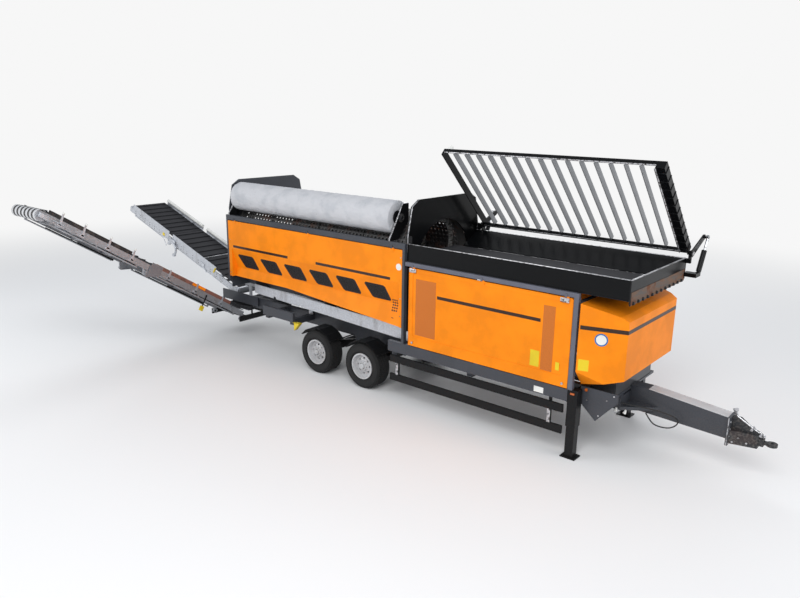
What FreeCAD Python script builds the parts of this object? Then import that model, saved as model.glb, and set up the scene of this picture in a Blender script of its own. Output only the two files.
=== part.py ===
import FreeCAD, Part
import os
import re
import Sketcher

# Towed drum screen on two axles, with a feed hopper, a side stacking conveyor and a rear one.
# Millimetres. X runs forward to the tow eye, Y to the left, Z up. X is zero between the axles,
# Y on the middle plane and Z on the ground, and every finished piece is then shifted so that
# the middle of its footprint is at the origin.

SIZES = {
    # Shift of the finished machine, to the middle of its footprint
    "origin_x": -420, "origin_y": -1985,
    # Wheels and axles
    "wheel_x": 671, "tyre_radius": 475, "tyre_width": 385, "track_outer": 1250,
    "rim_radius": 252, "rim_wall": 14, "rim_depth": 150, "hub_radius": 130, "hand_ring": 160, "hand_hole": 24,
    "axle_beam": 140, "axle_inset": 230, "spring_half": 520,
    "guard_gap": 65, "guard_wall": 8, "stay_radius": 14, "guard_width": 400,
    # Chassis
    "rail_y": 480, "rail_width": 100, "rail_low": 790, "rail_top": 1060,
    "rail_rear": -3700, "rail_front": 5900, "cross_width": 120,
    "sill_width": 70, "sill_low": 1000, "sill_top": 1210, "sill_rear": -2400, "wheel_space": 720, "sill_front": 5277.7,
    "half_width": 1250,
    # Drawbar
    "beam_half": 125, "beam_front": 7500, "beam_low_rear": 690, "beam_top_rear": 1130,
    "beam_low_front": 640, "beam_top_front": 1000, "eye_reach": 640, "eye_z": 690,
    "eye_outer": 82, "eye_bore": 25, "eye_thick": 45, "flange_thick": 40,
    # Support legs and side guards
    "leg_x": 5365, "leg_y": 1150, "leg_size": 150, "leg_wall": 12, "leg_gap": 0.3, "leg_low": 560,
    "leg_reach": 750, "foot_size": 270, "foot_thick": 20,
    "nose_rear": 5400, "nose_front": 6050, "nose_top": 1240, "nose_low": 690, "nose_y": 1000, "nose_wall": 12,
    "lamp_radius": 26, "chock_x": -1360,
    "guard_rear": 1450, "guard_front": 5215, "guard_tube": 40, "bracket_inset": 280,
    # Drum housing
    "house_rear": -3620, "house_front": 1780, "wall": 30, "house_top": 3180, "door_top": 3050,
    "door_rear": -3560, "door_front": 1720, "door_thick": 30, "crease_z": 2410, "waist_z": 1930,
    "waist_y": 1110, "skirt_low": 1520, "skirt_y": 1235, "skirt_high": 1730,
    "window_first": -3270, "window_pitch": 800, "window_wide": 500, "window_narrow": 430,
    "window_lean": 130, "window_top": 2260, "window_low": 1990, "window_round": 45,
    # Drum and brush
    "drum_z": 2620, "drum_radius": 1000, "drum_wall": 12, "drum_rear": -3540, "drum_front": 1650,
    "ring_radius": 1030, "ring_width": 90, "roller_radius": 110, "roller_angle": 35,
    "screen_edge": 260, "screen_bar": 110, "screen_wide": 400,
    "inlet_radius": 900, "brush_y": 930, "brush_z": 3600, "brush_radius": 325,
    "carrier_foot": 50, "carrier_low": 240, "carrier_high": 65, "carrier_inner": 230, "carrier_top": 3860,
    "brush_rear": -3435, "brush_front": 1340, "brush_shaft": 30,
    # Collecting belt under the drum
    "collect_half": 600, "collect_front": 1700, "collect_head": -3930, "collect_z": 1170,
    "collect_slope": 2.5, "collect_drum": 80, "plate_y": 1050, "plate_wall": 12,
    # Feed hopper
    "hopper_rear": 1800, "hopper_front": 6150, "hopper_floor": 2840, "hopper_rim": 3170,
    "rim_width": 50, "sheet_wall": 12, "feed_half": 600, "feed_drum": 85, "feed_z": 2800,
    "feed_head": 1640, "feed_tail": 5940,
    # Service bay and nose
    "bay_rear": 1900, "bay_front": 5270, "bay_low": 1225, "bay_top": 2745, "post_width": 80,
    "hood_rear": 5390, "hood_front": 6120, "hood_half": 1030, "hood_top_rear": 2690,
    "hood_top_front": 2470, "hood_bevel_x": 6000, "hood_bevel_z": 2540, "hood_low_rear": 1265,
    "hood_low_front": 1500, "hood_corner": 60, "hood_wall": 25, "hood_hinge_x": 5370,
    # Tipping grate
    "grate_rear": 1990, "grate_front": 6200, "grate_length": 2210, "grate_depth": 140,
    "grate_angle": 44, "grate_inset": 130, "grate_z": 3270, "grate_bars": 15, "grate_bar": 16, "lamp_shade": 60, "lamp_high": 110,
    "lever_out": 540, "lever_up": 230, "ram_foot_out": 80, "ram_foot_z": 2900, "ram_barrel": 430,
    "ram_radius": 45, "ram_rod": 22, "ram_pin": 18, "ram_stem": 190, "ram_offset": 70, "hinge_pin": 25, "hinge_out": 6, "hinge_barrel": 9, "hinge_core": 5,
    # Side conveyor, out to the right behind the housing
    "side_x": -4215, "side_half": 535, "side_pivot_y": -900, "side_pivot_z": 560,
    "side_angle": 32.5, "side_fold": 2900, "side_head": 5500, "side_drum": 110, "side_rise": 120,
    "side_belt": 95, "tail_left": 720, "tail_right": 640, "tail_half": 571, "tail_drum": 85,
    "tail_belt_z": 710,
    # Rear conveyor
    "rear_pivot_x": -4450, "rear_pivot_z": 1040, "rear_angle": 18.8, "rear_half": 555,
    "rear_fold": 2900, "rear_head": 4810, "rear_tail": 150, "rear_drum": 100, "rear_rise": 120,
    "chute_end": -4140,
    # Shared conveyor sections
    "skirt_wall": 8, "skirt_end": 150, "side_skirt_start": 500, "side_skirt_top": 150,
    "rear_skirt_start": 760, "rear_skirt_top": 200, "chord_drop": 40, "chord_radius": 16, "chord_end": 260,
    "channel": 130, "channel_wall": 30, "belt": 12, "cleat": 25, "lug_drop": 160, "fold_pin": 15,
    "idler_radius": 45,
    # Clearances
    "gap": 0.3, "running": 6,
}

doc = FreeCAD.newDocument("drum_screen")
sheet = doc.addObject("Spreadsheet::Sheet", "sizes")
for row, (alias, value) in enumerate(SIZES.items(), 1):
    sheet.set(f"A{row}", alias)
    sheet.set(f"B{row}", str(value))
    sheet.setAlias(f"B{row}", alias)
doc.recompute()

NODES = []
LEG_OUTER = "(leg_size / 2 + leg_gap + leg_wall)"
AXLE_END = "(track_outer - axle_inset + 40)"
EYE_X = "(beam_front + eye_reach)"
GUARD_BENDS = (-52, -36, -12, 12, 36, 52)
SCREEN_ROWS, SCREEN_COLUMNS, HAND_HOLES = 10, 12, 8
RAMS = (("grate_rear - 75", -1), ("grate_front + 60", 1))
HOOD_HINGES = (1450, 2350)


def sized(text):
    """Expression text in which every size name points at the sheet."""
    return re.sub(r"[a-z]\w*", lambda word: "sizes." + word.group() if word.group() in SIZES else word.group(),
                  str(text))


def bind(thing, **expressions):
    """Tie properties to expressions; a double underscore stands for a dot."""
    for prop, text in expressions.items():
        thing.setExpression(prop.replace("__", "."), sized(text))


def block(name, x, y, z):
    """Box between pairs of expressions along each axis."""
    box = doc.addObject("Part::Box", name)
    bind(box, Length=f"({x[1]}) - ({x[0]})", Width=f"({y[1]}) - ({y[0]})", Height=f"({z[1]}) - ({z[0]})",
         Placement__Base__x=x[0], Placement__Base__y=y[0], Placement__Base__z=z[0])
    return box


TURNS = {"x": FreeCAD.Rotation(FreeCAD.Vector(0, 1, 0), 90),
         "y": FreeCAD.Rotation(FreeCAD.Vector(1, 0, 0), -90),
         "z": FreeCAD.Rotation()}


def rod(name, axis, ends, centre, radius):
    """Round bar along an axis, its centre given along the two other axes in order."""
    bar = doc.addObject("Part::Cylinder", name)
    spot = list(centre)
    spot.insert("xyz".index(axis), ends[0])
    bar.Placement = FreeCAD.Placement(FreeCAD.Vector(), TURNS[axis])
    bind(bar, Radius=radius, Height=f"({ends[1]}) - ({ends[0]})", Placement__Base__x=spot[0],
         Placement__Base__y=spot[1], Placement__Base__z=spot[2])
    return bar


PLANES = {"z": "XY_Plane", "y": "XZ_Plane", "x": "YZ_Plane"}


def outline(body, axis, points, offset):
    """Closed sketch of straight edges across an axis, each corner tied to expressions."""
    sketch = body.newObject("Sketcher::SketchObject", body.Name + "_outline")
    plane = [part for part in body.Origin.OriginFeatures if part.Role == PLANES[axis]][0]
    sketch.AttachmentSupport = (plane, [""])
    sketch.MapMode = "FlatFace"
    bind(sketch, AttachmentOffset__Base__z=offset)
    spots = [[float(body.evalExpression(sized(part))) for part in point] for point in points]
    for start, end in zip(spots, spots[1:] + spots[:1]):
        sketch.addGeometry(Part.LineSegment(FreeCAD.Vector(*start, 0), FreeCAD.Vector(*end, 0)))
    for index, (point, spot) in enumerate(zip(points, spots)):
        sketch.addConstraint(Sketcher.Constraint("Coincident", index - 1 if index else len(points) - 1, 2,
                                                 index, 1))
        for kind, text, value in zip(("DistanceX", "DistanceY"), point, spot):
            number = sketch.addConstraint(Sketcher.Constraint(kind, -1, 1, index, 1, value))
            sketch.setExpression(f"Constraints[{number}]", sized(text))
    return sketch


def plate(name, axis, points, ends, corner=None):
    """Flat piece whose outline lies across an axis, between two places along it."""
    body = doc.addObject("PartDesign::Body", name)
    start = f"-({ends[1]})" if axis == "y" else ends[0]
    pad = body.newObject("PartDesign::Pad", name + "_pad")
    pad.Profile = outline(body, axis, points, start)
    bind(pad, Length=f"({ends[1]}) - ({ends[0]})")
    body.Tip = pad
    if corner:
        doc.recompute()
        along = FreeCAD.Vector(*[float(axis == letter) for letter in "xyz"])
        edges = [f"Edge{number}" for number, edge in enumerate(pad.Shape.Edges, 1)
                 if abs(edge.tangentAt(edge.FirstParameter).dot(along)) > 0.999]
        round_off = body.newObject("PartDesign::Fillet", name + "_fillet")
        round_off.Base = (pad, edges)
        bind(round_off, Radius=corner)
        body.Tip = round_off
    return body


def turned(name, points, axis="y"):
    """Body turned about an axis from radius and length pairs, its middle at the origin."""
    body = doc.addObject("PartDesign::Body", name)
    plane = "z"
    pairs = points if axis == "y" else [(length, radius) for radius, length in points]
    sketch = outline(body, plane, pairs, "0")
    spin = body.newObject("PartDesign::Revolution", name + "_spin")
    spin.Profile = sketch
    line = [part for part in body.Origin.OriginFeatures if part.Role == axis.upper() + "_Axis"][0]
    spin.ReferenceAxis = (line, [""])
    spin.Angle = 360
    body.Tip = spin
    return body


def moved(name, pieces, **place):
    """Pieces as one, placed at expressions and turned about an axis."""
    return grouped(name, [fused(name + "_whole", pieces)] if len(pieces) > 1 else pieces, **place)


def grouped(name, pieces, x="0", y="0", z="0", axis=None, angle=None):
    """Group of separate pieces placed at expressions and turned about an axis."""
    group = doc.addObject("Part::Compound", name)
    group.Links = pieces
    if axis:
        turn = FreeCAD.Vector(*[float(axis == letter) for letter in "xyz"])
        group.Placement = FreeCAD.Placement(FreeCAD.Vector(), FreeCAD.Rotation(turn, 45))
        bind(group, Placement__Rotation__Angle=angle)
    bind(group, Placement__Base__x=x, Placement__Base__y=y, Placement__Base__z=z)
    return group


def fused(name, pieces):
    """One piece out of several that meet."""
    union = doc.addObject("Part::MultiFuse", name)
    union.Shapes = pieces
    return union


def cut(name, base, tools):
    """A piece less its cutters."""
    rest = doc.addObject("Part::Cut", name)
    rest.Base = base
    rest.Tool = tools[0] if len(tools) == 1 else fused(name + "_tools", tools)
    return rest


def mirrored(piece):
    """The same piece on the other side of the middle plane."""
    image = doc.addObject("Part::Mirroring", piece.Name + "_mirrored")
    image.Source = piece
    image.Normal = FreeCAD.Vector(0, 1, 0)
    return image


def node(label, pieces, fuse=True):
    """Finished sub-part: its pieces as one, shifted to the machine's origin."""
    kind = "Part::MultiFuse" if fuse and len(pieces) > 1 else "Part::Compound"
    whole = doc.addObject(kind, label)
    whole.Label = label
    if kind == "Part::MultiFuse":
        whole.Shapes = pieces
    else:
        whole.Links = pieces
    bind(whole, Placement__Base__x="-origin_x", Placement__Base__y="-origin_y")
    NODES.append(whole)
    return whole


def both_sides(pieces):
    """The pieces and their images on the other side."""
    return pieces + [mirrored(piece) for piece in pieces]


def wheels():
    """Four wheels: a tyre and a dished rim each."""
    rim_edge = "rim_radius + rim_wall"
    for place, centre_x in (("front", "wheel_x"), ("rear", "-wheel_x")):
        for side, sign in (("right", -1), ("left", 1)):
            spot = f"{sign} * (track_outer - tyre_width / 2)"
            tyre = turned(f"tyre_{place}_{side}_ring", [
                (rim_edge + " + gap", "-tyre_width / 2 + 37"), (rim_edge + " + 24", "-tyre_width / 2 + 37"),
                (rim_edge + " + 60", "-tyre_width / 2"),
                ("tyre_radius - 60", "-tyre_width / 2"), ("tyre_radius", "-tyre_width / 2 + 45"),
                ("tyre_radius", "tyre_width / 2 - 45"), ("tyre_radius - 60", "tyre_width / 2"),
                (rim_edge + " + 60", "tyre_width / 2"), (rim_edge + " + 24", "tyre_width / 2 - 37"),
                (rim_edge + " + gap", "tyre_width / 2 - 37")])
            bind(tyre, Placement__Base__x=centre_x, Placement__Base__y=spot, Placement__Base__z="tyre_radius")
            node(f"tyre_{place}_{side}", [tyre])
            dish = [("axle_beam / 2 + gap", "rim_depth - 190"), ("hub_radius", "rim_depth - 190"),
                    ("hub_radius", "rim_depth - 60"), ("rim_radius - 60", "rim_depth - 90"),
                    ("rim_radius - 25", "-tyre_width / 2 + 20"), ("rim_radius + 22", "-tyre_width / 2 + 12"),
                    ("rim_radius + 22", "-tyre_width / 2 + 36"), (rim_edge, "-tyre_width / 2 + 36.5"),
                    (rim_edge, "tyre_width / 2 - 36.5"), ("rim_radius + 22", "tyre_width / 2 - 36"),
                    ("rim_radius + 22", "tyre_width / 2 - 12"), ("rim_radius - 5", "tyre_width / 2 - 12"),
                    ("rim_radius - 25", "rim_depth - 60"), ("rim_radius - 60", "rim_depth - 60"),
                    ("hub_radius - 10", "rim_depth - 30"), ("hub_radius - 40", "rim_depth + 10"),
                    ("axle_beam / 2 + gap", "rim_depth + 10")]
            rim = turned(f"rim_{place}_{side}_disc", [(radius, f"{sign} * ({along})") for radius, along in dish])
            bind(rim, Placement__Base__x=centre_x, Placement__Base__y=spot, Placement__Base__z="tyre_radius")
            holes = [rod(f"rim_{place}_{side}_hole_{number}", "y",
                         (f"{spot} - tyre_width / 2", f"{spot} + tyre_width / 2"),
                         (f"{centre_x} + hand_ring * sin({number} * 360 / {HAND_HOLES})",
                          f"tyre_radius + hand_ring * cos({number} * 360 / {HAND_HOLES})"), "hand_hole")
                     for number in range(HAND_HOLES)]
            node(f"rim_{place}_{side}", [cut(f"rim_{place}_{side}_whole", rim, holes)])


def axles():
    """Two beam axles on leaf packs, each hung under the rails."""
    for place, centre_x in (("front", "wheel_x"), ("rear", "-wheel_x")):
        half = "axle_beam / 2"
        beam = block(f"axle_{place}_beam", (f"{centre_x} - {half}", f"{centre_x} + {half}"),
                     ("-(track_outer - tyre_width) + 40", "track_outer - tyre_width - 40"),
                     (f"tyre_radius - {half}", f"tyre_radius + {half}"))
        stub = rod(f"axle_{place}_stub", "y", (f"-{AXLE_END}", AXLE_END), (centre_x, "tyre_radius"),
                   "axle_beam / 2")
        springs = [plate(f"axle_{place}_spring", "y", [
            (f"{centre_x} - spring_half", "rail_low - 95"), (f"{centre_x} - spring_half", "rail_low - 75"),
            (f"{centre_x} - 90", "tyre_radius + axle_beam / 2 + 60"),
            (f"{centre_x} + 90", "tyre_radius + axle_beam / 2 + 60"),
            (f"{centre_x} + spring_half", "rail_low - 75"), (f"{centre_x} + spring_half", "rail_low - 95"),
            (f"{centre_x} + 110", "tyre_radius + axle_beam / 2"),
            (f"{centre_x} - 110", "tyre_radius + axle_beam / 2")], ("rail_y - 45", "rail_y + 45"))]
        node(f"axle_{place}", [beam, stub] + both_sides(springs))


def chassis():
    """Ladder frame with outriggers, sills, spring hangers and rear arms, each bolted on by itself."""
    rail_out = "rail_y + rail_width / 2"
    rail_in = "rail_y - rail_width / 2 - gap"
    sides = [block("rail", ("rail_rear", "rail_front"), ("rail_y - rail_width / 2", rail_out), ("rail_low", "rail_top")),
             block("sill_front_part", ("wheel_x + wheel_space", "sill_front"),
                   ("half_width - sill_width", "half_width"), ("sill_low", "sill_top")),
             block("sill_rear_part", ("sill_rear", "-wheel_x - wheel_space"),
                   ("half_width - sill_width", "half_width"), ("sill_low", "sill_top")),
             fused("rear_arm", [
                 block("rear_arm_plate", ("side_x - tail_half", "rail_rear + 300"),
                       ("rear_half + 5", "rear_half + 30"), ("rail_low + 60", "rear_pivot_z + 50")),
                 rod("rear_pin", "y", ("rear_half - channel_wall + 3", "rear_half + 15"),
                     ("rear_pivot_x", "rear_pivot_z"), "hinge_pin")])]
    spring_ends = (("-wheel_x - spring_half - 70", "-wheel_x - spring_half"),
                   ("-wheel_x + spring_half", "wheel_x - spring_half"),
                   ("wheel_x + spring_half", "wheel_x + spring_half + 70"))
    for number, ends in enumerate(spring_ends):
        sides.append(block(f"hanger_{number}", ends, ("rail_y - 60", "rail_y + 60"),
                           ("rail_low - 130", "rail_low - gap")))
    for number, spot in enumerate(("rail_rear + 60", "sill_rear + 60", "-1500", "1500", "3300", "5240")):
        reach = {0: "rear_half + 5 - gap", 5: f"leg_y - {LEG_OUTER} - gap"}.get(number, "half_width - sill_width - gap")
        sides.append(block(f"outrigger_{number}", (f"{spot} - cross_width / 2", f"{spot} + cross_width / 2"),
                           (f"{rail_out} + gap", reach), ("rail_top - 150", "rail_top - 20")))
    crosses = [block(f"cross_{number}", (f"{spot} - cross_width / 2", f"{spot} + cross_width / 2"),
                     (f"-({rail_in})", rail_in), ("rail_low + 40", "rail_top - 40"))
               for number, spot in enumerate(("rail_rear + 60", "-1500", "0", "1500", "3300", "5240",
                                              "rail_front - 60"))]
    deck = block("engine_deck", ("hood_rear + 20", "rail_front"), ("-900", "900"), ("rail_top + gap", "rail_top + 40"))
    cheek = plate("nose_cheek", "y", [("nose_rear", "nose_top"), ("nose_front", "nose_top"),
                                      ("nose_front", "nose_top - 140"), ("nose_rear + 290", "nose_low"),
                                      ("nose_rear", "nose_low + 260")], ("-nose_y - nose_wall", "-nose_y"))
    shelf = block("nose_shelf", ("hood_rear + 20", "rail_front"), ("-nose_y", "-900 - gap"),
                  ("rail_top + gap", "rail_top + 40"))
    node("chassis_frame", both_sides(sides) + crosses + [deck, fused("nose_cheek_whole", [cheek, shelf])], fuse=False)
    round_lamp = rod("lamp_round", "y", ("-nose_y - nose_wall - 18", "-nose_y - nose_wall"),
                     ("nose_rear + 100", "nose_top - 45"), "lamp_radius")
    flat_lamp = block("lamp_flat", ("leg_x - 35", "leg_x + 35"),
                      (f"-leg_y - {LEG_OUTER} - 14", f"-leg_y - {LEG_OUTER}"), ("sill_top - 75", "sill_top - 45"))
    node("marker_lamps", [round_lamp] + both_sides([flat_lamp]), fuse=False)
    wedge = plate("chock_wedge", "y", [("chock_x", "sill_low - gap"), ("chock_x", "sill_low - 180"),
                                       ("chock_x + 170", "sill_low - gap")], ("-half_width + 5", "-half_width + 105"))
    strap = block("chock_strap", ("chock_x - 100", "chock_x + 60"), ("-half_width + 20", "-half_width + 60"),
                  ("sill_low - 12 - gap", "sill_low - gap"))
    node("wheel_chock", [wedge, strap])


def drawbar():
    """Tapering box beam with a braced root, then the head and its eye."""
    beam = plate("beam", "y", [("rail_front", "beam_low_rear + 20"), ("beam_front", "beam_low_front"),
                               ("beam_front", "beam_top_front"), ("rail_front + 300", "beam_top_rear"),
                               ("rail_front", "beam_top_rear")], ("-beam_half", "beam_half"))
    root = plate("beam_root", "z", [("rail_front", "-(rail_y + rail_width / 2)"),
                                    ("rail_front + 500", "-beam_half"), ("rail_front + 500", "beam_half"),
                                    ("rail_front", "rail_y + rail_width / 2")], ("rail_low", "rail_low + 60"))
    flange = block("beam_flange", ("beam_front", "beam_front + flange_thick"), ("-165", "165"),
                   ("beam_low_front - 100", "beam_top_front + 10"))
    node("drawbar", [beam, root, flange])
    start = "beam_front + flange_thick"
    head = plate("head_body", "z", [(start, "-150"), (f"{EYE_X} - 190", "-55"), (f"{EYE_X} - 190", "55"),
                                    (start, "150")], ("eye_z - 110", "eye_z + 110"))
    top = plate("head_web", "y", [(start, "eye_z + 105"), (f"{EYE_X} - 200", "eye_z + 105"),
                                  (start + " + 120", "beam_top_front"), (start, "beam_top_front")], ("-40", "40"))
    neck = block("head_neck", (f"{EYE_X} - 190", f"{EYE_X} - eye_outer - 30"), ("-45", "45"), ("eye_z - 60", "eye_z + 60"))
    node("drawbar_head", [head, top, neck])
    ring = rod("eye_ring", "z", ("eye_z - eye_thick / 2", "eye_z + eye_thick / 2"), (EYE_X, "0"), "eye_outer")
    shank = block("eye_shank", (f"{EYE_X} - eye_outer - 30", f"{EYE_X} - 40"), ("-38", "38"),
                  ("eye_z - eye_thick / 2", "eye_z + eye_thick / 2"))
    bore = rod("eye_bore_cut", "z", ("eye_z - eye_thick", "eye_z + eye_thick"), (EYE_X, "0"), "eye_bore")
    node("tow_eye", [cut("eye_whole", fused("eye_blank", [ring, shank]), [bore])])


def legs():
    """Two support legs that slide in their tubes."""
    half = "leg_size / 2"
    inner = "leg_size / 2 + leg_gap"
    outer = LEG_OUTER
    tubes = []
    for side, sign in (("right", "-"), ("left", "")):
        spot = f"{sign}leg_y"
        shell = block(f"leg_tube_{side}_blank", (f"leg_x - ({outer})", f"leg_x + {outer}"),
                      (f"{spot} - ({outer})", f"{spot} + {outer}"), ("leg_low", "sill_top"))
        space = block(f"leg_tube_{side}_space", (f"leg_x - ({inner})", f"leg_x + {inner}"),
                      (f"{spot} - ({inner})", f"{spot} + {inner}"), ("leg_low - 1", "sill_top - 20"))
        tubes.append(cut(f"leg_tube_{side}", shell, [space]))
        post = block(f"leg_{side}_post", (f"leg_x - {half}", f"leg_x + {half}"),
                     (f"{spot} - {half}", f"{spot} + {half}"), ("foot_thick", "leg_reach"))
        foot = block(f"leg_{side}_foot", ("leg_x - foot_size / 2", "leg_x + foot_size / 2"),
                     (f"{spot} - foot_size / 2 + 20", f"{spot} + foot_size / 2 - 20"), ("0", "foot_thick"))
        node(f"leg_{side}", [post, foot])
    node("leg_tubes", tubes, fuse=False)


def side_guards():
    """Two rails along each side, hung from the sill on brackets."""
    pieces = [block("guard_high", ("guard_rear", "guard_front"), ("half_width - guard_tube", "half_width"),
                    ("780", "920")),
              block("guard_low", ("guard_rear", "guard_front"), ("half_width - guard_tube", "half_width"),
                    ("400", "540"))]
    for number, spot in enumerate(("guard_rear + 150", "guard_front - bracket_inset")):
        pieces.append(block(f"guard_bracket_{number}", (spot, f"{spot} + 60"),
                            ("half_width - guard_tube - 15", "half_width - guard_tube"), ("400", "sill_low")))
    node("side_guards", both_sides([fused("side_guard_whole", pieces)]), fuse=False)


def mudguards():
    """One bent guard over each wheel, on two stays from the sill."""
    inner = "(tyre_radius + guard_gap)"
    outer = "(tyre_radius + guard_gap + guard_wall)"
    pieces = []
    for place, centre_x in (("front", "wheel_x"), ("rear", "-wheel_x")):
        rows = [(f"{centre_x} + {radius} * sin({angle})", f"tyre_radius + {radius} * cos({angle})")
                for radius, angles in ((inner, GUARD_BENDS), (outer, GUARD_BENDS[::-1])) for angle in angles]
        pieces.append(plate(f"mudguard_{place}", "y", rows, ("track_outer - guard_width", "track_outer")))
        for number, way in enumerate((-1, 1)):
            pieces.append(rod(f"mudguard_stay_{place}_{number}", "y",
                              ("rail_y + rail_width / 2", "track_outer - 10"),
                              (f"{centre_x} + {way} * {outer} * sin({GUARD_BENDS[-1] + 1})",
                               f"tyre_radius + {outer} * cos({GUARD_BENDS[-1] + 1})"), "stay_radius"))
    node("mudguards", both_sides(pieces))


def housing():
    """Drum housing: end walls, top rails, corner posts and the funnel under the drum; gives the frame's pieces."""
    pieces = [block("top_rail", ("house_rear", "house_front"), ("half_width - 70", "half_width"),
                    ("door_top + 20", "house_top")),
              block("rear_post", ("house_rear", "door_rear - 6"), ("half_width - 90", "half_width"),
                    ("1600", "door_top + 20")),
              block("front_post", ("door_front + 6", "house_front"), ("half_width - 90", "half_width"),
                    ("sill_top", "door_top + 20")),
              plate("funnel", "x", [("-(collect_half + 14)", "1420"), ("-(collect_half + 3)", "1430"),
                                    ("-1049", "1898"), ("-1060", "1888")], ("house_rear + wall", "house_front - wall"))]
    for number, spot in enumerate(("-2880", "-600", "1600")):
        pieces.append(plate(f"funnel_gusset_{number}", "x", [
            ("-plate_y", "1400"), ("-(collect_half + 14)", "1400"), ("-(collect_half + 14)", "1421"),
            ("-plate_y", "1876")], (spot, f"{spot} + 20")))
    wall = [("-half_width + 90", "1440"), ("-half_width + 90", "3330"), ("-1050", "3850"), ("-850", "3970"),
            ("850", "3970"), ("1050", "3850"), ("half_width - 90", "3330"), ("half_width - 90", "1440")]
    for label, ends, hole in (("housing_rear_wall", ("house_rear", "house_rear + wall"), "inlet_radius + 30"),
                              ("drum_bulkhead", ("house_front - wall", "house_front"), "inlet_radius")):
        blank = plate(label + "_blank", "x", wall, ends)
        space = rod(label + "_hole", "x", (f"{ends[0]} - 5", f"{ends[1]} + 5"), ("0", "drum_z"), hole)
        slot = block(label + "_slot", (f"{ends[0]} - 5", f"{ends[1]} + 5"), ("-(collect_half + 15)", "collect_half + 15"),
                     ("1000", "1560"))
        node(label, [cut(label + "_whole", blank, [space, slot])])
    side = plate("side_plate_blank", "y", [("-2900", "1390"), ("house_front - wall", "1215"),
                                           ("house_front - wall", "1480"),
                                           ("-2900", "1600")], ("-plate_y - plate_wall", "-plate_y"))
    moons = [rod(f"moon_{number}", "y", ("-plate_y - plate_wall - 5", "-plate_y + 5"),
                 (f"-2200 + {number} * 850", f"1370 - {number} * 55"), "45") for number in range(5)]
    panel = cut("side_plate_whole", side, moons)
    node("side_plates", both_sides([panel]), fuse=False)
    return pieces


def hinge_row(name, spots, axis_z):
    """Barrels along the top of a right side door: straps on the rail above and on the door."""
    face = "half_width + hinge_out"
    rail, door = [], []
    for number, spot in enumerate(spots):
        for kind, group, ends, strap in (
                ("fixed", rail, (spot, f"{spot} + 40"), ("axis", "axis + 50")),
                ("moving", door, (f"{spot} + 41", f"{spot} + 81"), ("axis - 60", "axis"))):
            height = [text.replace("axis", f"({axis_z})") for text in strap]
            group.append(block(f"{name}_{kind}_strap_{number}", ends, (f"-({face}) - 6", "-half_width"), height))
            group.append(rod(f"{name}_{kind}_barrel_{number}", "x", ends, (f"-({face})", axis_z), "hinge_barrel"))
        rail.append(rod(f"{name}_pin_{number}", "x", (spot, f"{spot} + 78"), (f"-({face})", axis_z), "hinge_core"))
        bore = rod(f"{name}_bore_{number}", "x", (f"{spot} + 40", f"{spot} + 82"), (f"-({face})", axis_z),
                   "hinge_core + gap")
        moving = fused(f"{name}_moving_{number}", door[-2:])
        door[-2:] = [cut(f"{name}_knuckle_{number}", moving, [bore])]
    return rail, door


def drum_doors(frame):
    """Two long side doors hinged at the top, waisted, with six leaning windows."""
    profile = [("-half_width", "door_top"), ("-half_width", "crease_z"), ("-waist_y", "waist_z"),
               ("-skirt_y", "skirt_low"), ("-skirt_y + door_thick", "skirt_low"),
               ("-waist_y + door_thick", "waist_z"), ("-half_width + door_thick", "crease_z + 4"),
               ("-half_width + door_thick", "door_top")]
    skin = plate("door_skin", "x", profile, ("door_rear", "door_front"))
    gusset = [("-half_width", "crease_z"), ("-half_width", "skirt_low"), ("-skirt_y", "skirt_low"),
              ("-waist_y", "waist_z")]
    ends = [plate("door_end_rear", "x", gusset, ("door_rear", "door_rear + 100")),
            plate("door_end_front", "x", gusset, ("door_front - 60", "door_front"))]
    windows = []
    for number in range(6):
        left = f"window_first + {number} * window_pitch"
        windows.append(plate(f"window_{number}", "y", [
            (left, "window_top"), (f"{left} + window_wide", "window_top"),
            (f"{left} + window_wide + window_lean - 30", "window_low"),
            (f"{left} + window_lean + 40", "window_low")], ("-half_width - 20", "-1000"), corner="window_round"))
    slope = plate("door_slope", "y", [("door_rear - 10", "skirt_low - 20"), ("door_front + 10", "skirt_low - 20"),
                                      ("door_front + 10", "skirt_low"), ("door_rear + 1900", "skirt_high"),
                                      ("door_rear - 10", "skirt_high")], ("-half_width - 20", "-1000"))
    door = cut("drum_door_whole", fused("drum_door_blank", [skin] + ends), windows + [slope])
    rail, knuckles = hinge_row("drum_hinge", ("door_rear + 200", "-900", "door_front - 280"), "door_top + 10")
    door = fused("drum_door_hung", [door] + knuckles)
    node("drum_door_right", [door])
    node("drum_door_left", [mirrored(door)])
    node("housing_frame", both_sides(frame + rail))


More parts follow.
